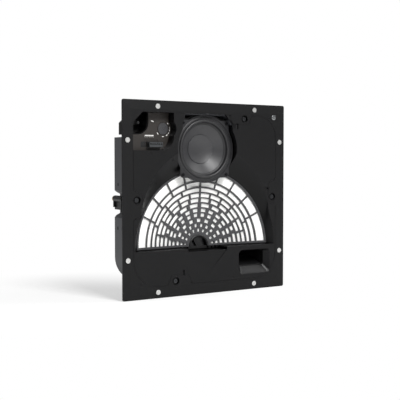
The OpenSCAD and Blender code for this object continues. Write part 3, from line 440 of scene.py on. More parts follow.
def circuit_board(name, base):
    """Green solder resist over copper: raised tracks on a coarse grid, tinned pads and the weave below."""
    f = Finish(name)
    x, y, z = f.axes()
    across = abs((x * (math.pi / 0.0076)).sine())
    along = abs((z * (math.pi / 0.0102)).sine())
    broken = f.noise(45, 0).step(0.46, 0.52)
    track = (across.step(0.9, 0.96) * broken).most(along.step(0.92, 0.97) * (1 - broken))
    pad = (across * along).step(0.975, 0.99)
    glass = f.noise(1300, 2)
    tint = f.mixed(track * 0.7, base, tuple(min(1, c * 1.8) for c in base))
    tint = f.mixed(pad, tint, (0.55, 0.55, 0.52))
    normal = f.bump(track + pad, 0.00006, 0.8)
    return f.surface(Base_Color=tint, Roughness=0.3 + glass * 0.1, Metallic=pad * 0.8, Normal=normal)


def film_sleeve(name, base):
    """Wrapped film capacitor: glossy sleeve, resin at both ends and the ridge of its winding."""
    f = Finish(name)
    x, y, z = f.axes((0.120, 0, 0))
    end = abs(x).step(0.0145, 0.0152)
    wrap = f.noise(220, 2, 0.5, (0.1, 1, 1))
    tint = f.mixed(end, f.shaded(base, wrap, 0.85, 1.15), tuple(c * 0.25 for c in base))
    gloss = 0.22 + end * 0.4 + wrap * 0.05
    return f.surface(Base_Color=tint, Roughness=gloss, Normal=f.bump(wrap, 0.0001, 0.5))


def taped_coil(name, base):
    """Coil under polyester tape: lapped edges across the winding, glossy and a little translucent in tone."""
    f = Finish(name)
    x, y, z = f.axes()
    lap = abs((y * (math.pi / 0.006)).sine()).step(0.05, 0.18)
    wrinkle = f.noise(160, 3, 0.6, (1, 1, 0.2))
    tint = f.shaded(base, lap * 0.6 + wrinkle * 0.4, 0.62, 1.12)
    normal = f.bump(lap + wrinkle * 0.5, 0.0001, 0.6)
    return f.surface(Base_Color=tint, Roughness=0.25 + wrinkle * 0.15, Normal=normal)


def laminated(name, base):
    """Stack of transformer sheets: fine parallel edges along Y, varnished."""
    f = Finish(name)
    x, y, z = f.axes()
    sheet = abs((y * (math.pi / 0.0005)).sine())
    rust = f.noise(70, 4).step(0.55, 0.75)
    tint = f.mixed(rust * 0.35, f.shaded(base, sheet, 0.6, 1.1), (0.12, 0.05, 0.02))
    normal = f.bump(sheet, 0.00008, 0.6)
    return f.surface(Base_Color=tint, Metallic=0.7, Roughness=0.35 + rust * 0.3, Normal=normal)


# Surfaces


def points_of(mesh):
    """A mesh's points as an array of rows."""
    flat = np.empty(len(mesh.vertices) * 3, np.float32)
    mesh.vertices.foreach_get("co", flat)
    return flat.reshape(-1, 3).astype(float)


def welded(points, faces):
    """Points closer than a micrometre become one, and triangles left without area go."""
    key = np.round(points * 1e6).astype(np.int64)
    _, first, back = np.unique(key, axis=0, return_index=True, return_inverse=True)
    faces = back.reshape(-1)[faces]
    whole = (faces[:, 0] != faces[:, 1]) & (faces[:, 1] != faces[:, 2]) & (faces[:, 2] != faces[:, 0])
    return points[first], faces[whole]


def piece(name, points, faces, limit=math.radians(28), flat_area=0.0008):
    """An object from triangles. An edge is shaded round if it bends by less than the limit and neither of its
    planes is a large flat, whose own shade would smear over the curve beside it."""
    points, faces = welded(points, faces)
    corners = points[faces]
    cross = np.cross(corners[:, 1] - corners[:, 0], corners[:, 2] - corners[:, 0])
    if np.einsum("ij,ij->", corners[:, 0], cross) < 0:
        faces = faces[:, ::-1]
        cross = -cross
    size = np.linalg.norm(cross, axis=1)
    normal = cross / np.maximum(size, 1e-20)[:, None]
    offset = np.einsum("ij,ij->i", normal, corners[:, 0])
    plane_key = np.round(np.column_stack([normal * 300, offset * 20000])).astype(np.int64)
    _, plane = np.unique(plane_key, axis=0, return_inverse=True)
    plane = plane.reshape(-1)
    area = np.bincount(plane, weights=size / 2)[plane]
    mesh = bpy.data.meshes.new(name)
    mesh.from_pydata(points.tolist(), [], faces.tolist())
    mesh.update(calc_edges=True)
    count = len(mesh.polygons)
    edge_of_loop = np.empty(count * 3, np.int32)
    mesh.loops.foreach_get("edge_index", edge_of_loop)
    order = np.argsort(edge_of_loop, kind="stable")
    same = edge_of_loop[order[:-1]] == edge_of_loop[order[1:]]
    one = order[:-1][same] // 3
    two = order[1:][same] // 3
    edge = edge_of_loop[order[:-1][same]]
    bend = np.einsum("ij,ij->i", normal[one], normal[two])
    level = bend > 0.999998
    round_edge = (bend > math.cos(limit)) & (level | (np.maximum(area[one], area[two]) < flat_area))
    sharp = np.ones(len(mesh.edges), bool)
    sharp[edge] = ~round_edge
    mesh.edges.foreach_set("use_edge_sharp", sharp)
    mesh.polygons.foreach_set("use_smooth", np.ones(count, bool))
    mesh.update()
    made = bpy.data.objects.new(name, mesh)
    bpy.context.scene.collection.objects.link(made)
    return made


def sheet_faces(rows, columns, wrap_rows=False, wrap_columns=False):
    """Two triangles for each cell of a grid of points, which may close on itself either way."""
    i = np.arange(rows if wrap_rows else rows - 1)[:, None]
    j = np.arange(columns if wrap_columns else columns - 1)[None, :]
    a = i * columns + j
    b = ((i + 1) % rows) * columns + j
    c = ((i + 1) % rows) * columns + (j + 1) % columns
    d = i * columns + (j + 1) % columns
    return np.concatenate([np.stack([a, b, c], -1).reshape(-1, 3), np.stack([a, c, d], -1).reshape(-1, 3)])


def turned(profile, centre, steps):
    """A closed profile of radius and depth carried round an axis along Y. At angle a a profile point stands
    at centre + (radius cos a, depth, radius sin a)."""
    angle = np.linspace(0, 2 * math.pi, steps, endpoint=False)[:, None]
    radius = profile[None, :, 0]
    x = centre[0] + radius * np.cos(angle)
    y = np.broadcast_to(centre[1] + profile[None, :, 1], x.shape)
    z = centre[2] + radius * np.sin(angle)
    grid = np.stack([x, y, z], -1)
    return grid.reshape(-1, 3), sheet_faces(steps, len(profile), True, True)


def prism_faces(count):
    """Faces of a flat piece from its front and back rings of so many points, and each ring's middle."""
    k = np.arange(count)
    after = (k + 1) % count
    near = np.stack([k, k + count, after + count], -1)
    far = np.stack([k, after + count, after], -1)
    front = np.stack([k, after, np.full(count, 2 * count)], -1)
    back = np.stack([after + count, k + count, np.full(count, 2 * count + 1)], -1)
    return np.concatenate([near, far, front, back])


def arc(centre, radius, start, end, steps):
    """Points on a circle of radius and depth, from one angle in degrees to another."""
    a = np.radians(np.linspace(start, end, steps))
    return np.column_stack([centre[0] + radius * np.cos(a), centre[1] + radius * np.sin(a)])


def finished(made, body, slot, material, *nodes):
    """Rides a piece on a body, gives it its material and hides the nodes it stands for; the slot it is given
    is not used.
    """
    made.data.materials.clear()
    made.data.materials.append(material)
    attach(made, body)
    if nodes:
        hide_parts(*nodes)
    return made


def smooth_copy(node, name, slot, material, limit=28, flat_area=800):
    """A copy of a built node's surface with its points merged and its curves shaded round."""
    source = frame["nodes"][node]
    flat = np.empty(len(source.data.loops), np.int32)
    source.data.loops.foreach_get("vertex_index", flat)
    made = piece(name, points_of(source.data), flat.reshape(-1, 3), math.radians(limit), flat_area * 1e-6)
    return finished(made, source["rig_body"], slot, material, node)


def paint(material, *nodes):
    """Gives built nodes a material of their own."""
    for node in nodes:
        mesh = frame["nodes"][node].data
        mesh.materials.clear()
        mesh.materials.append(material)


def sizes():
    """The sizes as they are set."""
    return bpy.context.scene.speaker_sizes


def colours():
    """The colours as they are set."""
    return bpy.context.scene.speaker_colours


def woofer_centre():
    """Where the woofer's axis meets the front plane."""
    return (0.0, -FRONT, sizes().woofer_height)


def cone_depth(radius):
    """Depth of the cone's front at a radius: a shallow power curve from the rim to the former."""
    s = sizes()
    rim = s.frame_depth + 4 * MM
    return rim + s.cone_height * np.power((s.roll_inner - radius) / (s.roll_inner - s.former), 0.92)


# Operators, one for each piece or group


class SpeakerOperator:
    """What every step shares."""

    bl_options = {"REGISTER", "UNDO"}


class SPEAKER_OT_frame(SpeakerOperator, bpy.types.Operator):
    """Gives the front frame its moulded finish with painted shade in its recesses, puts caps of painted shade
    behind its clamp slots and plates of painted shade over the can's latch openings, and gives the grille
    magnets their plating
    """

    bl_idname = "speaker.frame"
    bl_label = "Front frame"

    def execute(self, context):
        c = colours()
        body = front_skin("frame satin", opaque(c.frame))
        smooth_copy("front_frame", "frame_moulding", "frame_plastic", body)
        # Painted shade: near-black caps behind the clamp slots
        self.slot_shade_caps(moulded("slot painted shade", tone("0a0a0b"), 0.6))
        # Painted shade: near-black plates over the can's latch openings
        self.windows(moulded("window painted shade", tone("08080a"), 0.7))
        self.tether_screw(plated("tether screw", opaque(c.steel), 0.22))
        nickel = plated("magnet nickel", opaque(c.nickel), 0.35)
        smooth_copy("grille_magnets", "magnet_discs", "magnet_nickel", nickel)
        return {"FINISHED"}

    def slot_shade_caps(self, black):
        """Four shallow near-black caps of painted shade behind the slots beside the clamps, standing for the
        dark inside them: boxes of eight corners, turned in quarter turns about each clamp's screw."""
        screws = ((-173.5, 0, 0), (173.5, 0, 2), (96, 173.5, 1), (-81, -173.5, 3))
        half = np.array([6.9, 0.5, 3.2])
        beside_screw = np.array([16.5, 0.25, -19.0])
        signs = np.array([[i, j, k] for i in (-1, 1) for j in (-1, 1) for k in (-1, 1)])
        corner = signs * half + beside_screw
        points = []
        for x, z, quarter in screws:
            c, s = (1, 0, -1, 0)[quarter], (0, 1, 0, -1)[quarter]
            turned_x = corner[:, 0] * c + corner[:, 2] * s
            turned_z = -corner[:, 0] * s + corner[:, 2] * c
            points.append(np.stack([turned_x + x, corner[:, 1], turned_z + z], -1))
        box = np.array([[0, 1, 3], [0, 3, 2], [4, 6, 7], [4, 7, 5], [0, 4, 5], [0, 5, 1],
                        [2, 3, 7], [2, 7, 6], [0, 2, 6], [0, 6, 4], [1, 5, 7], [1, 7, 3]])
        faces = (box[None] + 8 * np.arange(4)[:, None, None]).reshape(-1, 3)
        made = piece("slot_shade_caps", np.concatenate(points) * MM, faces)
        finished(made, "body", "frame_plastic", black)

    def windows(self, dark):
        """Near-black plates of painted shade over the latch openings in the can's left side, beside its
        clamp: a square outline with its corners cut, which stands a little proud of the wall and leans in
        with depth as the can's draft does."""
        places = ((16, 31, 3.2), (70, 31, 3.2), (50, -62, 3.6), (72, -62, 3.6))
        half_width, proud, buried = 2.6, 0.2, 0.3
        wall_at_front, draft, can_depth = -182.2, 3.4, 88
        cut = 0.6
        out = np.array([
            [-1, -cut], [-cut, -1], [cut, -1], [1, -cut], [1, cut], [cut, 1], [-cut, 1], [-1, cut]
        ])
        points, faces = [], []
        for n, (y, z, half_height) in enumerate(places):
            ys = np.append(out[:, 0] * half_width, 0) + y
            zs = np.append(out[:, 1] * half_height, 0) + z
            wall = wall_at_front + draft * ys / can_depth
            front = np.stack([wall - proud, ys, zs], -1)
            back = np.stack([wall + buried, ys, zs], -1)
            points.append(np.concatenate([front[:8], back[:8], front[8:], back[8:]]))
            faces.append(prism_faces(8) + 18 * n)
        made = piece("can_windows", np.concatenate(points) * MM, np.concatenate(faces))
        finished(made, "body", "can_paint", dark)

    def tether_screw(self, metal):
        """Pan head at its recess: a turned profile whose crown falls by a square of the radius to an edge
        rounded by an arc, with a cone sunk in the middle for the driver."""
        head_r, socket_r, edge_r = 5.2, 2.2, 0.6
        radius = np.linspace(head_r, socket_r, 8)
        dome = np.column_stack([radius, -0.5 + 0.03 * (radius - socket_r) ** 2])
        edge = arc((head_r, 0.35), edge_r, 60, -80, 8)
        foot = [[0.05, 1.9], [5.6, 1.9]]
        socket = [[1.7, 0.5], [0.05, 0.7]]
        profile = np.concatenate([foot, edge, dome, socket])
        points, faces = turned(profile * MM, (177 * MM, -3.9 * MM, 179 * MM), 64)
        made = piece("tether_screw", points, faces, math.radians(40), 1)
        finished(made, "body", "zinc_steel", metal)


class SPEAKER_OT_can(SpeakerOperator, bpy.types.Operator):
    """Paints the rear can and finishes its gasket, screws and safety lug"""

    bl_idname = "speaker.can"
    bl_label = "Rear can"

    def execute(self, context):
        c = colours()
        smooth_copy("rear_can", "can_shell", "can_paint", painted("can paint", opaque(c.can)), 30, 900)
        paint(foam("gasket foam", tone("18181a")), "can_gasket", "woofer_gasket")
        zinc = plated("zinc steel", opaque(c.steel), 0.32)
        paint(zinc, "can_screws", "safety_lug", "guide_screws", "saddle_screws")
        return {"FINISHED"}


class SPEAKER_OT_cone(SpeakerOperator, bpy.types.Operator):
    """Makes the woofer's surround, cone, dust cap and spider, and finishes its coil"""

    bl_idname = "speaker.cone"
    bl_label = "Moving parts"

    def execute(self, context):
        s, c = sizes(), colours()
        centre = woofer_centre()
        skin = rubber("surround rubber", opaque(c.rubber), centre)
        self.surround(s, centre, skin)
        polymer = cone_polymer("cone polymer", opaque(c.cone), centre, 0.36)
        self.cone(s, centre, polymer)
        self.cap(s, centre, cone_polymer("cap polymer", opaque(c.cone), centre, 0.36))
        self.spider(s, centre)
        paint(wound("coil wire", opaque(c.copper), centre, 0.3 * MM), "woofer_voice_coil")
        return {"FINISHED"}

    def surround(self, s, centre, skin):
        """Flat outer lip, half-round roll, and a flap that runs down over the cone: one closed profile, its
        front side from the outer lip to the flap's end and its back side a wall's thickness behind."""
        top = s.frame_depth + 1.5 * MM
        wall = 0.9 * MM
        middle = (s.roll_outer + s.roll_inner) / 2
        roll = (s.roll_outer - s.roll_inner) / 2
        lip = np.array([
            [69.7 * MM, top - wall * 0.75], [69.4 * MM, top - wall], [s.roll_outer + 0.9 * MM, top - wall]
        ])
        front = arc((middle, top), roll, -14, -176, 40)
        radius = np.linspace(s.roll_inner - 0.2 * MM, s.flap_inner, 8)
        flap = np.column_stack([radius, cone_depth(radius) - 0.65 * MM])
        end = np.array([[s.flap_inner - 0.25 * MM, cone_depth(s.flap_inner) - 0.3 * MM]])
        under = np.column_stack([radius[::-1], cone_depth(radius[::-1]) - 0.08 * MM])
        inner = np.array([
            [s.roll_inner + 0.6 * MM, cone_depth(s.roll_inner) - 0.2 * MM],
            [s.roll_inner + 0.9 * MM, top + 0.3 * MM],
        ])
        back = arc((middle, top), roll - wall, -174, -6, 36)
        close = np.array([[s.roll_outer - wall + 0.1 * MM, top], [69.6 * MM, top]])
        profile = np.concatenate([lip, front, flap, end, under, inner, back, close])
        points, faces = turned(profile, centre, s.steps)
        made = piece("surround_roll", points, faces, math.radians(50), 1)
        made.data.materials.append(skin)
        end = (0, top - FRONT + 1.9 * MM, centre[2])
        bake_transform(made)
        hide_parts("woofer_surround")

    def cone(self, s, centre, polymer):
        """The cone's power curve from rim to former, and the same curve a wall further back."""
        wall = 1.1 * MM
        radius = np.linspace(s.roll_inner - 0.3 * MM, s.former + 0.4 * MM, 48)
        front = np.column_stack([radius, cone_depth(radius)])
        back = np.column_stack([radius[::-1], cone_depth(radius[::-1]) + wall])
        points, faces = turned(np.concatenate([front, back]), centre, s.steps)
        made = piece("cone_shell", points, faces, math.radians(50), 1)
        finished(made, "woofer_moving_parts", "cone_polymer", polymer, "woofer_cone")

    def cap(self, s, centre, polymer):
        """A bowl that sinks by a circle's arc from rim to middle, with a rounded bead where it is glued."""
        sag = 5.5 * MM
        wall = 0.8 * MM
        big = (s.cap**2 + sag**2) / (2 * sag)
        rim = float(cone_depth(s.cap)) - 0.9 * MM
        radius = np.linspace(0, s.cap - 0.8 * MM, 40)
        depth = rim + sag - big + np.sqrt(big**2 - radius**2)
        bead = arc((s.cap - 0.5 * MM, rim - 0.1 * MM), 0.55 * MM, -150, 60, 12)
        front = np.column_stack([radius, depth - wall])
        back = np.column_stack([radius[::-1], depth[::-1]])
        points, faces = turned(np.concatenate([front, bead, back]), centre, s.steps)
        made = piece("dust_cap_bowl", points, faces, math.radians(50), 1)
        finished(made, "woofer_moving_parts", "cone_polymer", polymer, "woofer_dust_cap")

    def spider(self, s, centre):
        """Treated cloth ring whose depth is a sine of its radius between two flat hems."""
        depth = float(cone_depth(s.former)) + 9 * MM
        t = np.linspace(0, 1, 90)
        radius = s.former + 0.1 * MM + (46 * MM - s.former - 0.1 * MM) * t
        wave = np.where((t > 0.125) & (t < 0.875), np.sin(8 * math.pi * (t - 0.125) / 0.75), 0)
        front = np.column_stack([radius, depth - 0.5 * MM - 1.3 * MM * wave])
        back = front[::-1] + [0, 0.45 * MM]
        points, faces = turned(np.concatenate([front, back]), centre, s.steps)
        made = piece("spider_cloth", points, faces, math.radians(60), 1)
        cloth = woven("spider cloth", tone("b08a4e"), 0.8 * MM)
        finished(made, "body", "spider_cloth", cloth, "woofer_spider")


class SPEAKER_OT_woofer(SpeakerOperator, bpy.types.Operator):
    """Finishes the woofer's frame, motor, screws and terminals"""

    bl_idname = "speaker.woofer"
    bl_label = "Woofer frame and motor"

    def execute(self, context):
        c = colours()
        basket = painted("basket paint", opaque(c.basket), 0.4, 900, 0.00004)
        smooth_copy("woofer_basket", "basket_casting", "basket_metal", basket)
        steel = plated("motor steel", opaque(c.steel), 0.35, (1, 0.1, 1))
        paint(steel, "woofer_top_plate", "woofer_yoke", "driver_front_plate", "driver_yoke")
        paint(ferrite("magnet ferrite", tone("2b2b2e")), "woofer_magnet", "driver_magnet")
        paint(plated("black screws", tone("2a2a2c"), 0.35), "woofer_screws")
        paint(plated("terminal tin", tone("c8b878"), 0.3), "woofer_terminals")
        return {"FINISHED"}


class SPEAKER_OT_guide(SpeakerOperator, bpy.types.Operator):
    """Finishes the fan-shaped guide, its throat and its horn, and makes the acoustic cloth behind it"""

    bl_idname = "speaker.guide"
    bl_label = "Phase guide"

    def execute(self, context):
        s, c = sizes(), colours()
        grid = moulded("grid satin", opaque(c.grid), 0.42)
        smooth_copy("guide_grid", "guide_moulding", "grid_plastic", grid, 28, 4000)
        black = moulded("throat black", opaque(c.black), 0.3, 0.00003)
        smooth_copy("throat_cap", "throat_lip", "throat_plastic", black)
        paint(moulded("horn black", tone("1c1c1e"), 0.5), "guide_horn")
        self.cloth(s, woven("acoustic cloth", opaque(c.cloth), s.weave, gap=0.86))
        return {"FINISHED"}

    def cloth(self, s, weave):
        """Half ring that lies against the back of the guide: its depth rises towards the throat in proportion
        to radius, its outer end gives way to the woofer's sleeve, and its straight edge clears the horn."""
        inner = s.throat + 1 * MM
        outer = s.fan_radius - 3.2 * MM
        tilt = s.fan_tilt
        axis = (s.woofer_height - s.fan_height) / math.cos(tilt) + 0.4 * MM
        sleeve = 70.8 * MM
        part = np.linspace(0, 1, 70)[:, None]
        plain = inner + part * (outer - inner)
        low = np.arcsin(2.5 * MM / plain)
        angle = low + np.linspace(0, 1, 181)[None, :] * (math.pi - 2 * low)
        under = sleeve**2 - (axis * np.cos(angle)) ** 2
        near = np.where(under > 0, axis * np.sin(angle) - np.sqrt(np.maximum(under, 0)), outer)
        radius = inner + part * (np.minimum(near, outer) - inner)
        u = radius * np.cos(angle)
        v = radius * np.sin(angle)
        w = 0.17 * (s.fan_radius - 2 * MM - radius) + 3.2 * MM
        wall = 0.5 * MM

        def placed(w):
            y = s.fan_depth - FRONT + w * math.cos(tilt) + v * math.sin(tilt)
            z = s.fan_height - w * math.sin(tilt) + v * math.cos(tilt)
            return np.stack([u, y, z], -1)

        front, back = placed(w), placed(w + wall)
        rows, columns = u.shape
        ring = np.concatenate([front, back[::-1]])
        faces = sheet_faces(2 * rows, columns, wrap_rows=True)
        # Ends of the half ring, a strip of cells between front and back
        first = np.arange(rows - 1)
        f0, f1 = first * columns, (first + 1) * columns
        b0, b1 = (2 * rows - 1 - first) * columns, (2 * rows - 2 - first) * columns
        left = np.concatenate([np.stack([f0, b0, f1], -1), np.stack([f1, b0, b1], -1)])
        right = left[:, ::-1] + (columns - 1)
        faces = np.concatenate([faces, left, right])
        made = piece("acoustic_cloth", ring.reshape(-1, 3), faces, math.radians(40), 1)
        finished(made, "body", "mesh_cloth", weave, "guide_mesh")


class SPEAKER_OT_tweeter(SpeakerOperator, bpy.types.Operator):
    """Finishes the high driver behind the throat"""

    bl_idname = "speaker.tweeter"
    bl_label = "High driver"

    def execute(self, context):
        c = colours()
        paint(plated("diaphragm alloy", tone("c4c8cc"), 0.22), "driver_diaphragm")
        paint(moulded("cover black", opaque(c.black), 0.4), "driver_cover")
        return {"FINISHED"}


class SPEAKER_OT_port(SpeakerOperator, bpy.types.Operator):
    """Finishes the reflex port and its climbing floor"""

    bl_idname = "speaker.port"
    bl_label = "Port"

    def execute(self, context):
        c = colours()
        duct = moulded("port satin", opaque(c.frame), 0.45)
        smooth_copy("port_duct", "port_tube", "frame_plastic", duct)
        return {"FINISHED"}


class SPEAKER_OT_inputs(SpeakerOperator, bpy.types.Operator):
    """Finishes the input panel, selector, terminals and cable saddle, and prints the panel's marks"""

    bl_idname = "speaker.inputs"
    bl_label = "Input recess"

    def execute(self, context):
        s, c = sizes(), colours()
        paint(moulded("panel satin", opaque(c.panel), 0.4), "input_panel")
        knob = moulded("knob satin", tone("3a3a3c"), 0.36)
        smooth_copy("selector_knob", "selector_dial", "knob_plastic", knob)
        paint(moulded("switch body", tone("20242a"), 0.4), "selector_switch")
        paint(moulded("socket black", tone("1a1b1b"), 0.38), "terminal_socket")
        paint(moulded("plug grey", tone("343638"), 0.4), "terminal_plug")
        paint(moulded("saddle black", opaque(c.black), 0.4), "cable_saddle")
        self.marks(s, opaque(c.print))
        self.blank(s, moulded("blank black", tone("060607"), 0.5))
        return {"FINISHED"}

    def blank(self, s, black):
        """The insert beside the terminals: a slab whose outline is a rectangle with quarter-round corners."""
        middle_x, middle_z = -147.0, 115.5
        half_width, half_height, corner_r = 4.8, 4.4, 1.2
        rim = np.concatenate([
            arc((x * half_width, z * half_height), corner_r, start, start + 90, 5)
            for x, z, start in ((1, 1, 0), (-1, 1, 90), (-1, -1, 180), (1, -1, 270))
        ])
        count = len(rim)
        depth = s.panel_depth / MM - FRONT / MM
        near, far = depth - 0.25, depth + 0.02
        x, z = rim[:, 0] + middle_x, rim[:, 1] + middle_z
        front = np.stack([x, np.full(count, near), z], -1)
        back = np.stack([x, np.full(count, far), z], -1)
        middle = np.array([[middle_x, near, middle_z], [middle_x, far, middle_z]])
        made = piece("panel_blank", np.concatenate([front, back, middle]) * MM, prism_faces(count))
        finished(made, "body", "panel_plastic", black)

    def marks(self, s, ink):
        """Printed ticks, each a bar with round ends: its outline is a half circle at either end of a length,
        turned and set down at its place, and it stands a tenth of a millimetre proud."""
        dial_x, dial_z, ring_r = -99.8, 148.6, 16.3
        ticks = ((45, 3.8), (10, 3.6), (-9, 4.2), (-32, 2.6), (-55, 4.6), (-90, 4.2), (-143, 5.0))
        spots = []
        for angle, long in ticks:
            a = math.radians(angle)
            tick_x, tick_z = dial_x + ring_r * math.cos(a), dial_z + ring_r * math.sin(a)
            spots.append((tick_x, tick_z, long, 1.3, a + math.pi / 2))
        spots.append((-133.0, 134.2, 21.0, 1.6, 0.0))
        spots.append((-125.0, 164.0, 6.0, 1.8, -0.3))
        for i in range(9):
            spots.append((-143.0 + 2.5 * i, 131.2, 1.2, 0.9, 0.0))
        bars = np.array(spots)
        turn = np.radians(np.concatenate([np.linspace(-90, 90, 8), np.linspace(90, 270, 8)]))
        side = np.repeat([0.5, -0.5], 8)
        along = side * np.maximum(bars[:, 2:3] - bars[:, 3:4], 0) + np.cos(turn) * bars[:, 3:4] / 2
        across = np.sin(turn) * bars[:, 3:4] / 2
        x = bars[:, 0:1] + along * np.cos(bars[:, 4:5]) - across * np.sin(bars[:, 4:5])
        z = bars[:, 1:2] + along * np.sin(bars[:, 4:5]) + across * np.cos(bars[:, 4:5])
        depth = s.panel_depth / MM - FRONT / MM
        sides = (depth - 0.12, depth + 0.02)
        rim = np.stack([np.stack([x, np.full_like(x, y), z], -1) for y in sides], 1)
        middle = np.stack([np.stack([bars[:, 0], np.full(len(bars), y), bars[:, 1]], -1) for y in sides], 1)
        points = np.concatenate([rim.reshape(len(bars), -1, 3), middle], 1)
        faces = prism_faces(16)[None] + np.arange(len(bars))[:, None, None] * points.shape[1]
        made = piece("panel_marks", points.reshape(-1, 3) * MM, faces.reshape(-1, 3))
        paint_white = moulded("panel print", ink, 0.55, 0.00002)
        finished(made, "body", "panel_plastic", paint_white)


class SPEAKER_OT_inside(SpeakerOperator, bpy.types.Operator):
    """Finishes the transformer, crossover and coil, and makes the damping pad"""

    bl_idname = "speaker.inside"
    bl_label = "Inside of the can"

    def execute(self, context):
        c = colours()
        paint(laminated("core sheets", tone("6a6e72")), "transformer_core")
        paint(taped_coil("coil tape", tone("b4933c")), "transformer_coil")
        paint(circuit_board("solder resist", tone("1f4a34")), "crossover_board")
        paint(film_sleeve("capacitor sleeve", tone("27408b")), "crossover_capacitors")
        paint(wound("inductor wire", opaque(c.copper), (0, 0, 0), 0.9 * MM), "crossover_inductor")
        self.pad()
        return {"FINISHED"}

    def pad(self):
        """Wadding with a flat back and a crowned front: its thickness is full in the middle, falls to nothing
        at the edges by a sixth-power curve, and has shallow hollows on a square pitch where it is pinned."""
        low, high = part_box("damping_pad")
        count = 61
        a = np.sin(np.linspace(-math.pi / 2, math.pi / 2, count))
        p, q = np.meshgrid(a, a, indexing="ij")
        crown = np.sqrt(np.maximum(1 - np.abs(p) ** 6, 0) * np.maximum(1 - np.abs(q) ** 6, 0))
        quilt = 1 - 0.14 * (np.cos(3 * math.pi * p) * np.cos(3 * math.pi * q)) ** 2 * crown
        x = (low.x + high.x) / 2 + p * (high.x - low.x) / 2
        z = (low.z + high.z) / 2 + q * (high.z - low.z) / 2
        thick = (high.y - low.y) * crown * quilt
        front = np.stack([x, high.y - thick, z], -1)
        back = np.stack([x, np.full_like(x, high.y), z], -1)
        flat = sheet_faces(count, count)
        faces = np.concatenate([flat, flat[:, ::-1] + count * count])
        points = np.concatenate([front.reshape(-1, 3), back.reshape(-1, 3)])
        made = piece("damping_wadding", points, faces, math.radians(50), 1)
        finished(made, "body", "damping_felt", felt("damping felt", tone("8d8f8c")), "damping_pad")


class SPEAKER_OT_clamps(SpeakerOperator, bpy.types.Operator):
    """Finishes the four clamps: screws, threaded bushes and arms"""

    bl_idname = "speaker.clamps"
    bl_label = "Ceiling clamps"

    def execute(self, context):
        c = colours()
        zinc = plated("clamp steel", opaque(c.clamp), 0.34)
        brass = plated("bush brass", opaque(c.brass), 0.3)
        arm = moulded("arm nylon", opaque(c.black), 0.38, 0.00005)
        for side in ("left", "right", "top", "bottom"):
            paint(zinc, f"clamp_screw_{side}")
            paint(brass, f"clamp_nut_{side}")
            paint(arm, f"clamp_arm_{side}")
        return {"FINISHED"}


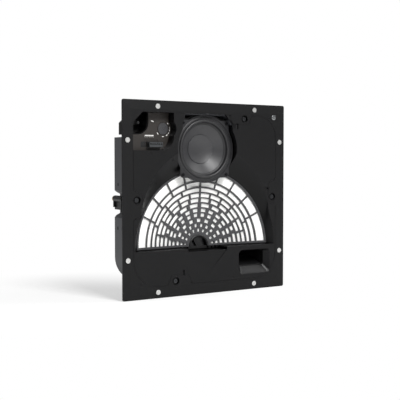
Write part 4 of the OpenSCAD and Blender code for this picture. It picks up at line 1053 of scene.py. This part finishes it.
class SPEAKER_OT_stage(SpeakerOperator, bpy.types.Operator):
    """Sets the camera, the pale floor, the lamps and the world"""

    bl_idname = "speaker.stage"
    bl_label = "Stage"

    def execute(self, context):
        scene = context.scene
        scene.view_settings.view_transform = "Standard"
        self.camera(scene)
        self.world(scene)
        self.floor()
        self.lamp("key", (0.15, -2.2, 1.9), (0, 0, 0.05), 1.1, 84)
        self.lamp("right", (2.3, -0.9, 1.9), (0, 0, 0), 1.2, 24)
        self.lamp("left", (-2.6, 0.8, 1.8), (0, 0.05, 0), 1.0, 34)
        return {"FINISHED"}

    def camera(self, scene):
        data = bpy.data.cameras.new("camera")
        data.lens = 74.786
        data.sensor_width = 36
        data.clip_start = 0.05
        data.clip_end = 60
        made = bpy.data.objects.new("camera", data)
        made.location = (-0.97430, -1.51102, 0.07802)
        made.rotation_euler = (math.radians(90 - 2.60), 0, math.radians(-32.32))
        scene.collection.objects.link(made)
        scene.camera = made

    def world(self, scene):
        """White where the camera or glass looks at it, and a plain soft grey as light."""
        world = bpy.data.worlds.new("studio")
        world.use_nodes = True
        scene.world = world
        tree = world.node_tree
        tree.nodes.clear()
        path = tree.nodes.new("ShaderNodeLightPath")
        seen = tree.nodes.new("ShaderNodeMath")
        seen.operation = "MAXIMUM"
        tree.links.new(path.outputs["Is Camera Ray"], seen.inputs[0])
        tree.links.new(path.outputs["Is Transmission Ray"], seen.inputs[1])
        soft = tree.nodes.new("ShaderNodeBackground")
        soft.inputs["Color"].default_value = (1, 1, 1, 1)
        soft.inputs["Strength"].default_value = 0.24
        white = tree.nodes.new("ShaderNodeBackground")
        white.inputs["Color"].default_value = (1, 1, 1, 1)
        white.inputs["Strength"].default_value = 1.0
        mix = tree.nodes.new("ShaderNodeMixShader")
        tree.links.new(seen.outputs[0], mix.inputs[0])
        tree.links.new(soft.outputs[0], mix.inputs[1])
        tree.links.new(white.outputs[0], mix.inputs[2])
        out = tree.nodes.new("ShaderNodeOutputWorld")
        tree.links.new(mix.outputs[0], out.inputs["Surface"])

    def floor(self):
        """A level disc: lit card near the object, which keeps its shadow, and pure white further out."""
        ring = np.array([0.0, 0.4, 0.9, 1.6, 4.0, 20.0])
        angle = np.linspace(0, 2 * math.pi, 64, endpoint=False)
        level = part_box("front_frame")[0].z - 0.0003
        grid = np.stack(
            [ring[:, None] * np.cos(angle), ring[:, None] * np.sin(angle), np.full((6, 64), level)], -1
        )
        mesh = bpy.data.meshes.new("floor")
        points, faces = welded(grid.reshape(-1, 3), sheet_faces(6, 64, wrap_columns=True))
        mesh.from_pydata(points.tolist(), [], faces.tolist())
        made = bpy.data.objects.new("floor", mesh)
        bpy.context.scene.collection.objects.link(made)
        f = Finish("floor card")
        x, y, z = f.axes()
        left, behind = x + 0.26, y - 0.12
        reach = (left * left + behind * behind) ** 0.5
        path = f.node("ShaderNodeLightPath")
        camera = Wire(f, path.socket.node.outputs["Is Camera Ray"])
        glossy = Wire(f, path.socket.node.outputs["Is Glossy Ray"])
        away = (reach.step(0.1, 0.42) * 0.55 + 0.45) * camera.most(glossy * 0.25)
        card = f.node("ShaderNodeBsdfDiffuse", None, {"Color": (0.96, 0.96, 0.96, 1)})
        glow = f.node("ShaderNodeEmission", None, {"Color": (1, 1, 1, 1), "Strength": 1.0})
        mix = f.node("ShaderNodeMixShader", None, {0: away, 1: card, 2: glow})
        f.node("ShaderNodeOutputMaterial", None, {"Surface": mix})
        mesh.materials.append(f.material)

    def lamp(self, name, place, aim, size, power):
        data = bpy.data.lights.new(name, "AREA")
        data.shape = "SQUARE"
        data.size = size
        data.energy = power
        made = bpy.data.objects.new(name, data)
        made.location = place
        way = np.array(aim) - np.array(place)
        pitch = math.atan2(math.hypot(way[0], way[1]), -way[2])
        made.rotation_euler = (pitch, 0, math.atan2(-way[0], way[1]))
        bpy.context.scene.collection.objects.link(made)


STEPS = (
    SPEAKER_OT_stage,
    SPEAKER_OT_frame,
    SPEAKER_OT_can,
    SPEAKER_OT_cone,
    SPEAKER_OT_woofer,
    SPEAKER_OT_guide,
    SPEAKER_OT_tweeter,
    SPEAKER_OT_port,
    SPEAKER_OT_inputs,
    SPEAKER_OT_inside,
    SPEAKER_OT_clamps,
)


class SPEAKER_PT_panel(bpy.types.Panel):
    """The steps in order, with the sizes and colours they use"""

    bl_idname = "SPEAKER_PT_panel"
    bl_label = "Ceiling speaker"
    bl_space_type = "VIEW_3D"
    bl_region_type = "UI"
    bl_category = "Speaker"

    def draw(self, context):
        for step in STEPS:
            self.layout.operator(step.bl_idname)
        for group in (context.scene.speaker_sizes, context.scene.speaker_colours):
            box = self.layout.box()
            for name in group.__annotations__:
                box.prop(group, name)


CLASSES = (SpeakerSizes, SpeakerColours, *STEPS, SPEAKER_PT_panel)


def register():
    for made in CLASSES:
        bpy.utils.register_class(made)
    bpy.types.Scene.speaker_sizes = PointerProperty(type=SpeakerSizes)
    bpy.types.Scene.speaker_colours = PointerProperty(type=SpeakerColours)


def unregister():
    del bpy.types.Scene.speaker_colours
    del bpy.types.Scene.speaker_sizes
    for made in reversed(CLASSES):
        bpy.utils.unregister_class(made)


def main():
    register()
    for step in STEPS:
        group, name = step.bl_idname.split(".")
        getattr(getattr(bpy.ops, group), name)()


if __name__ == "__main__":
    main()
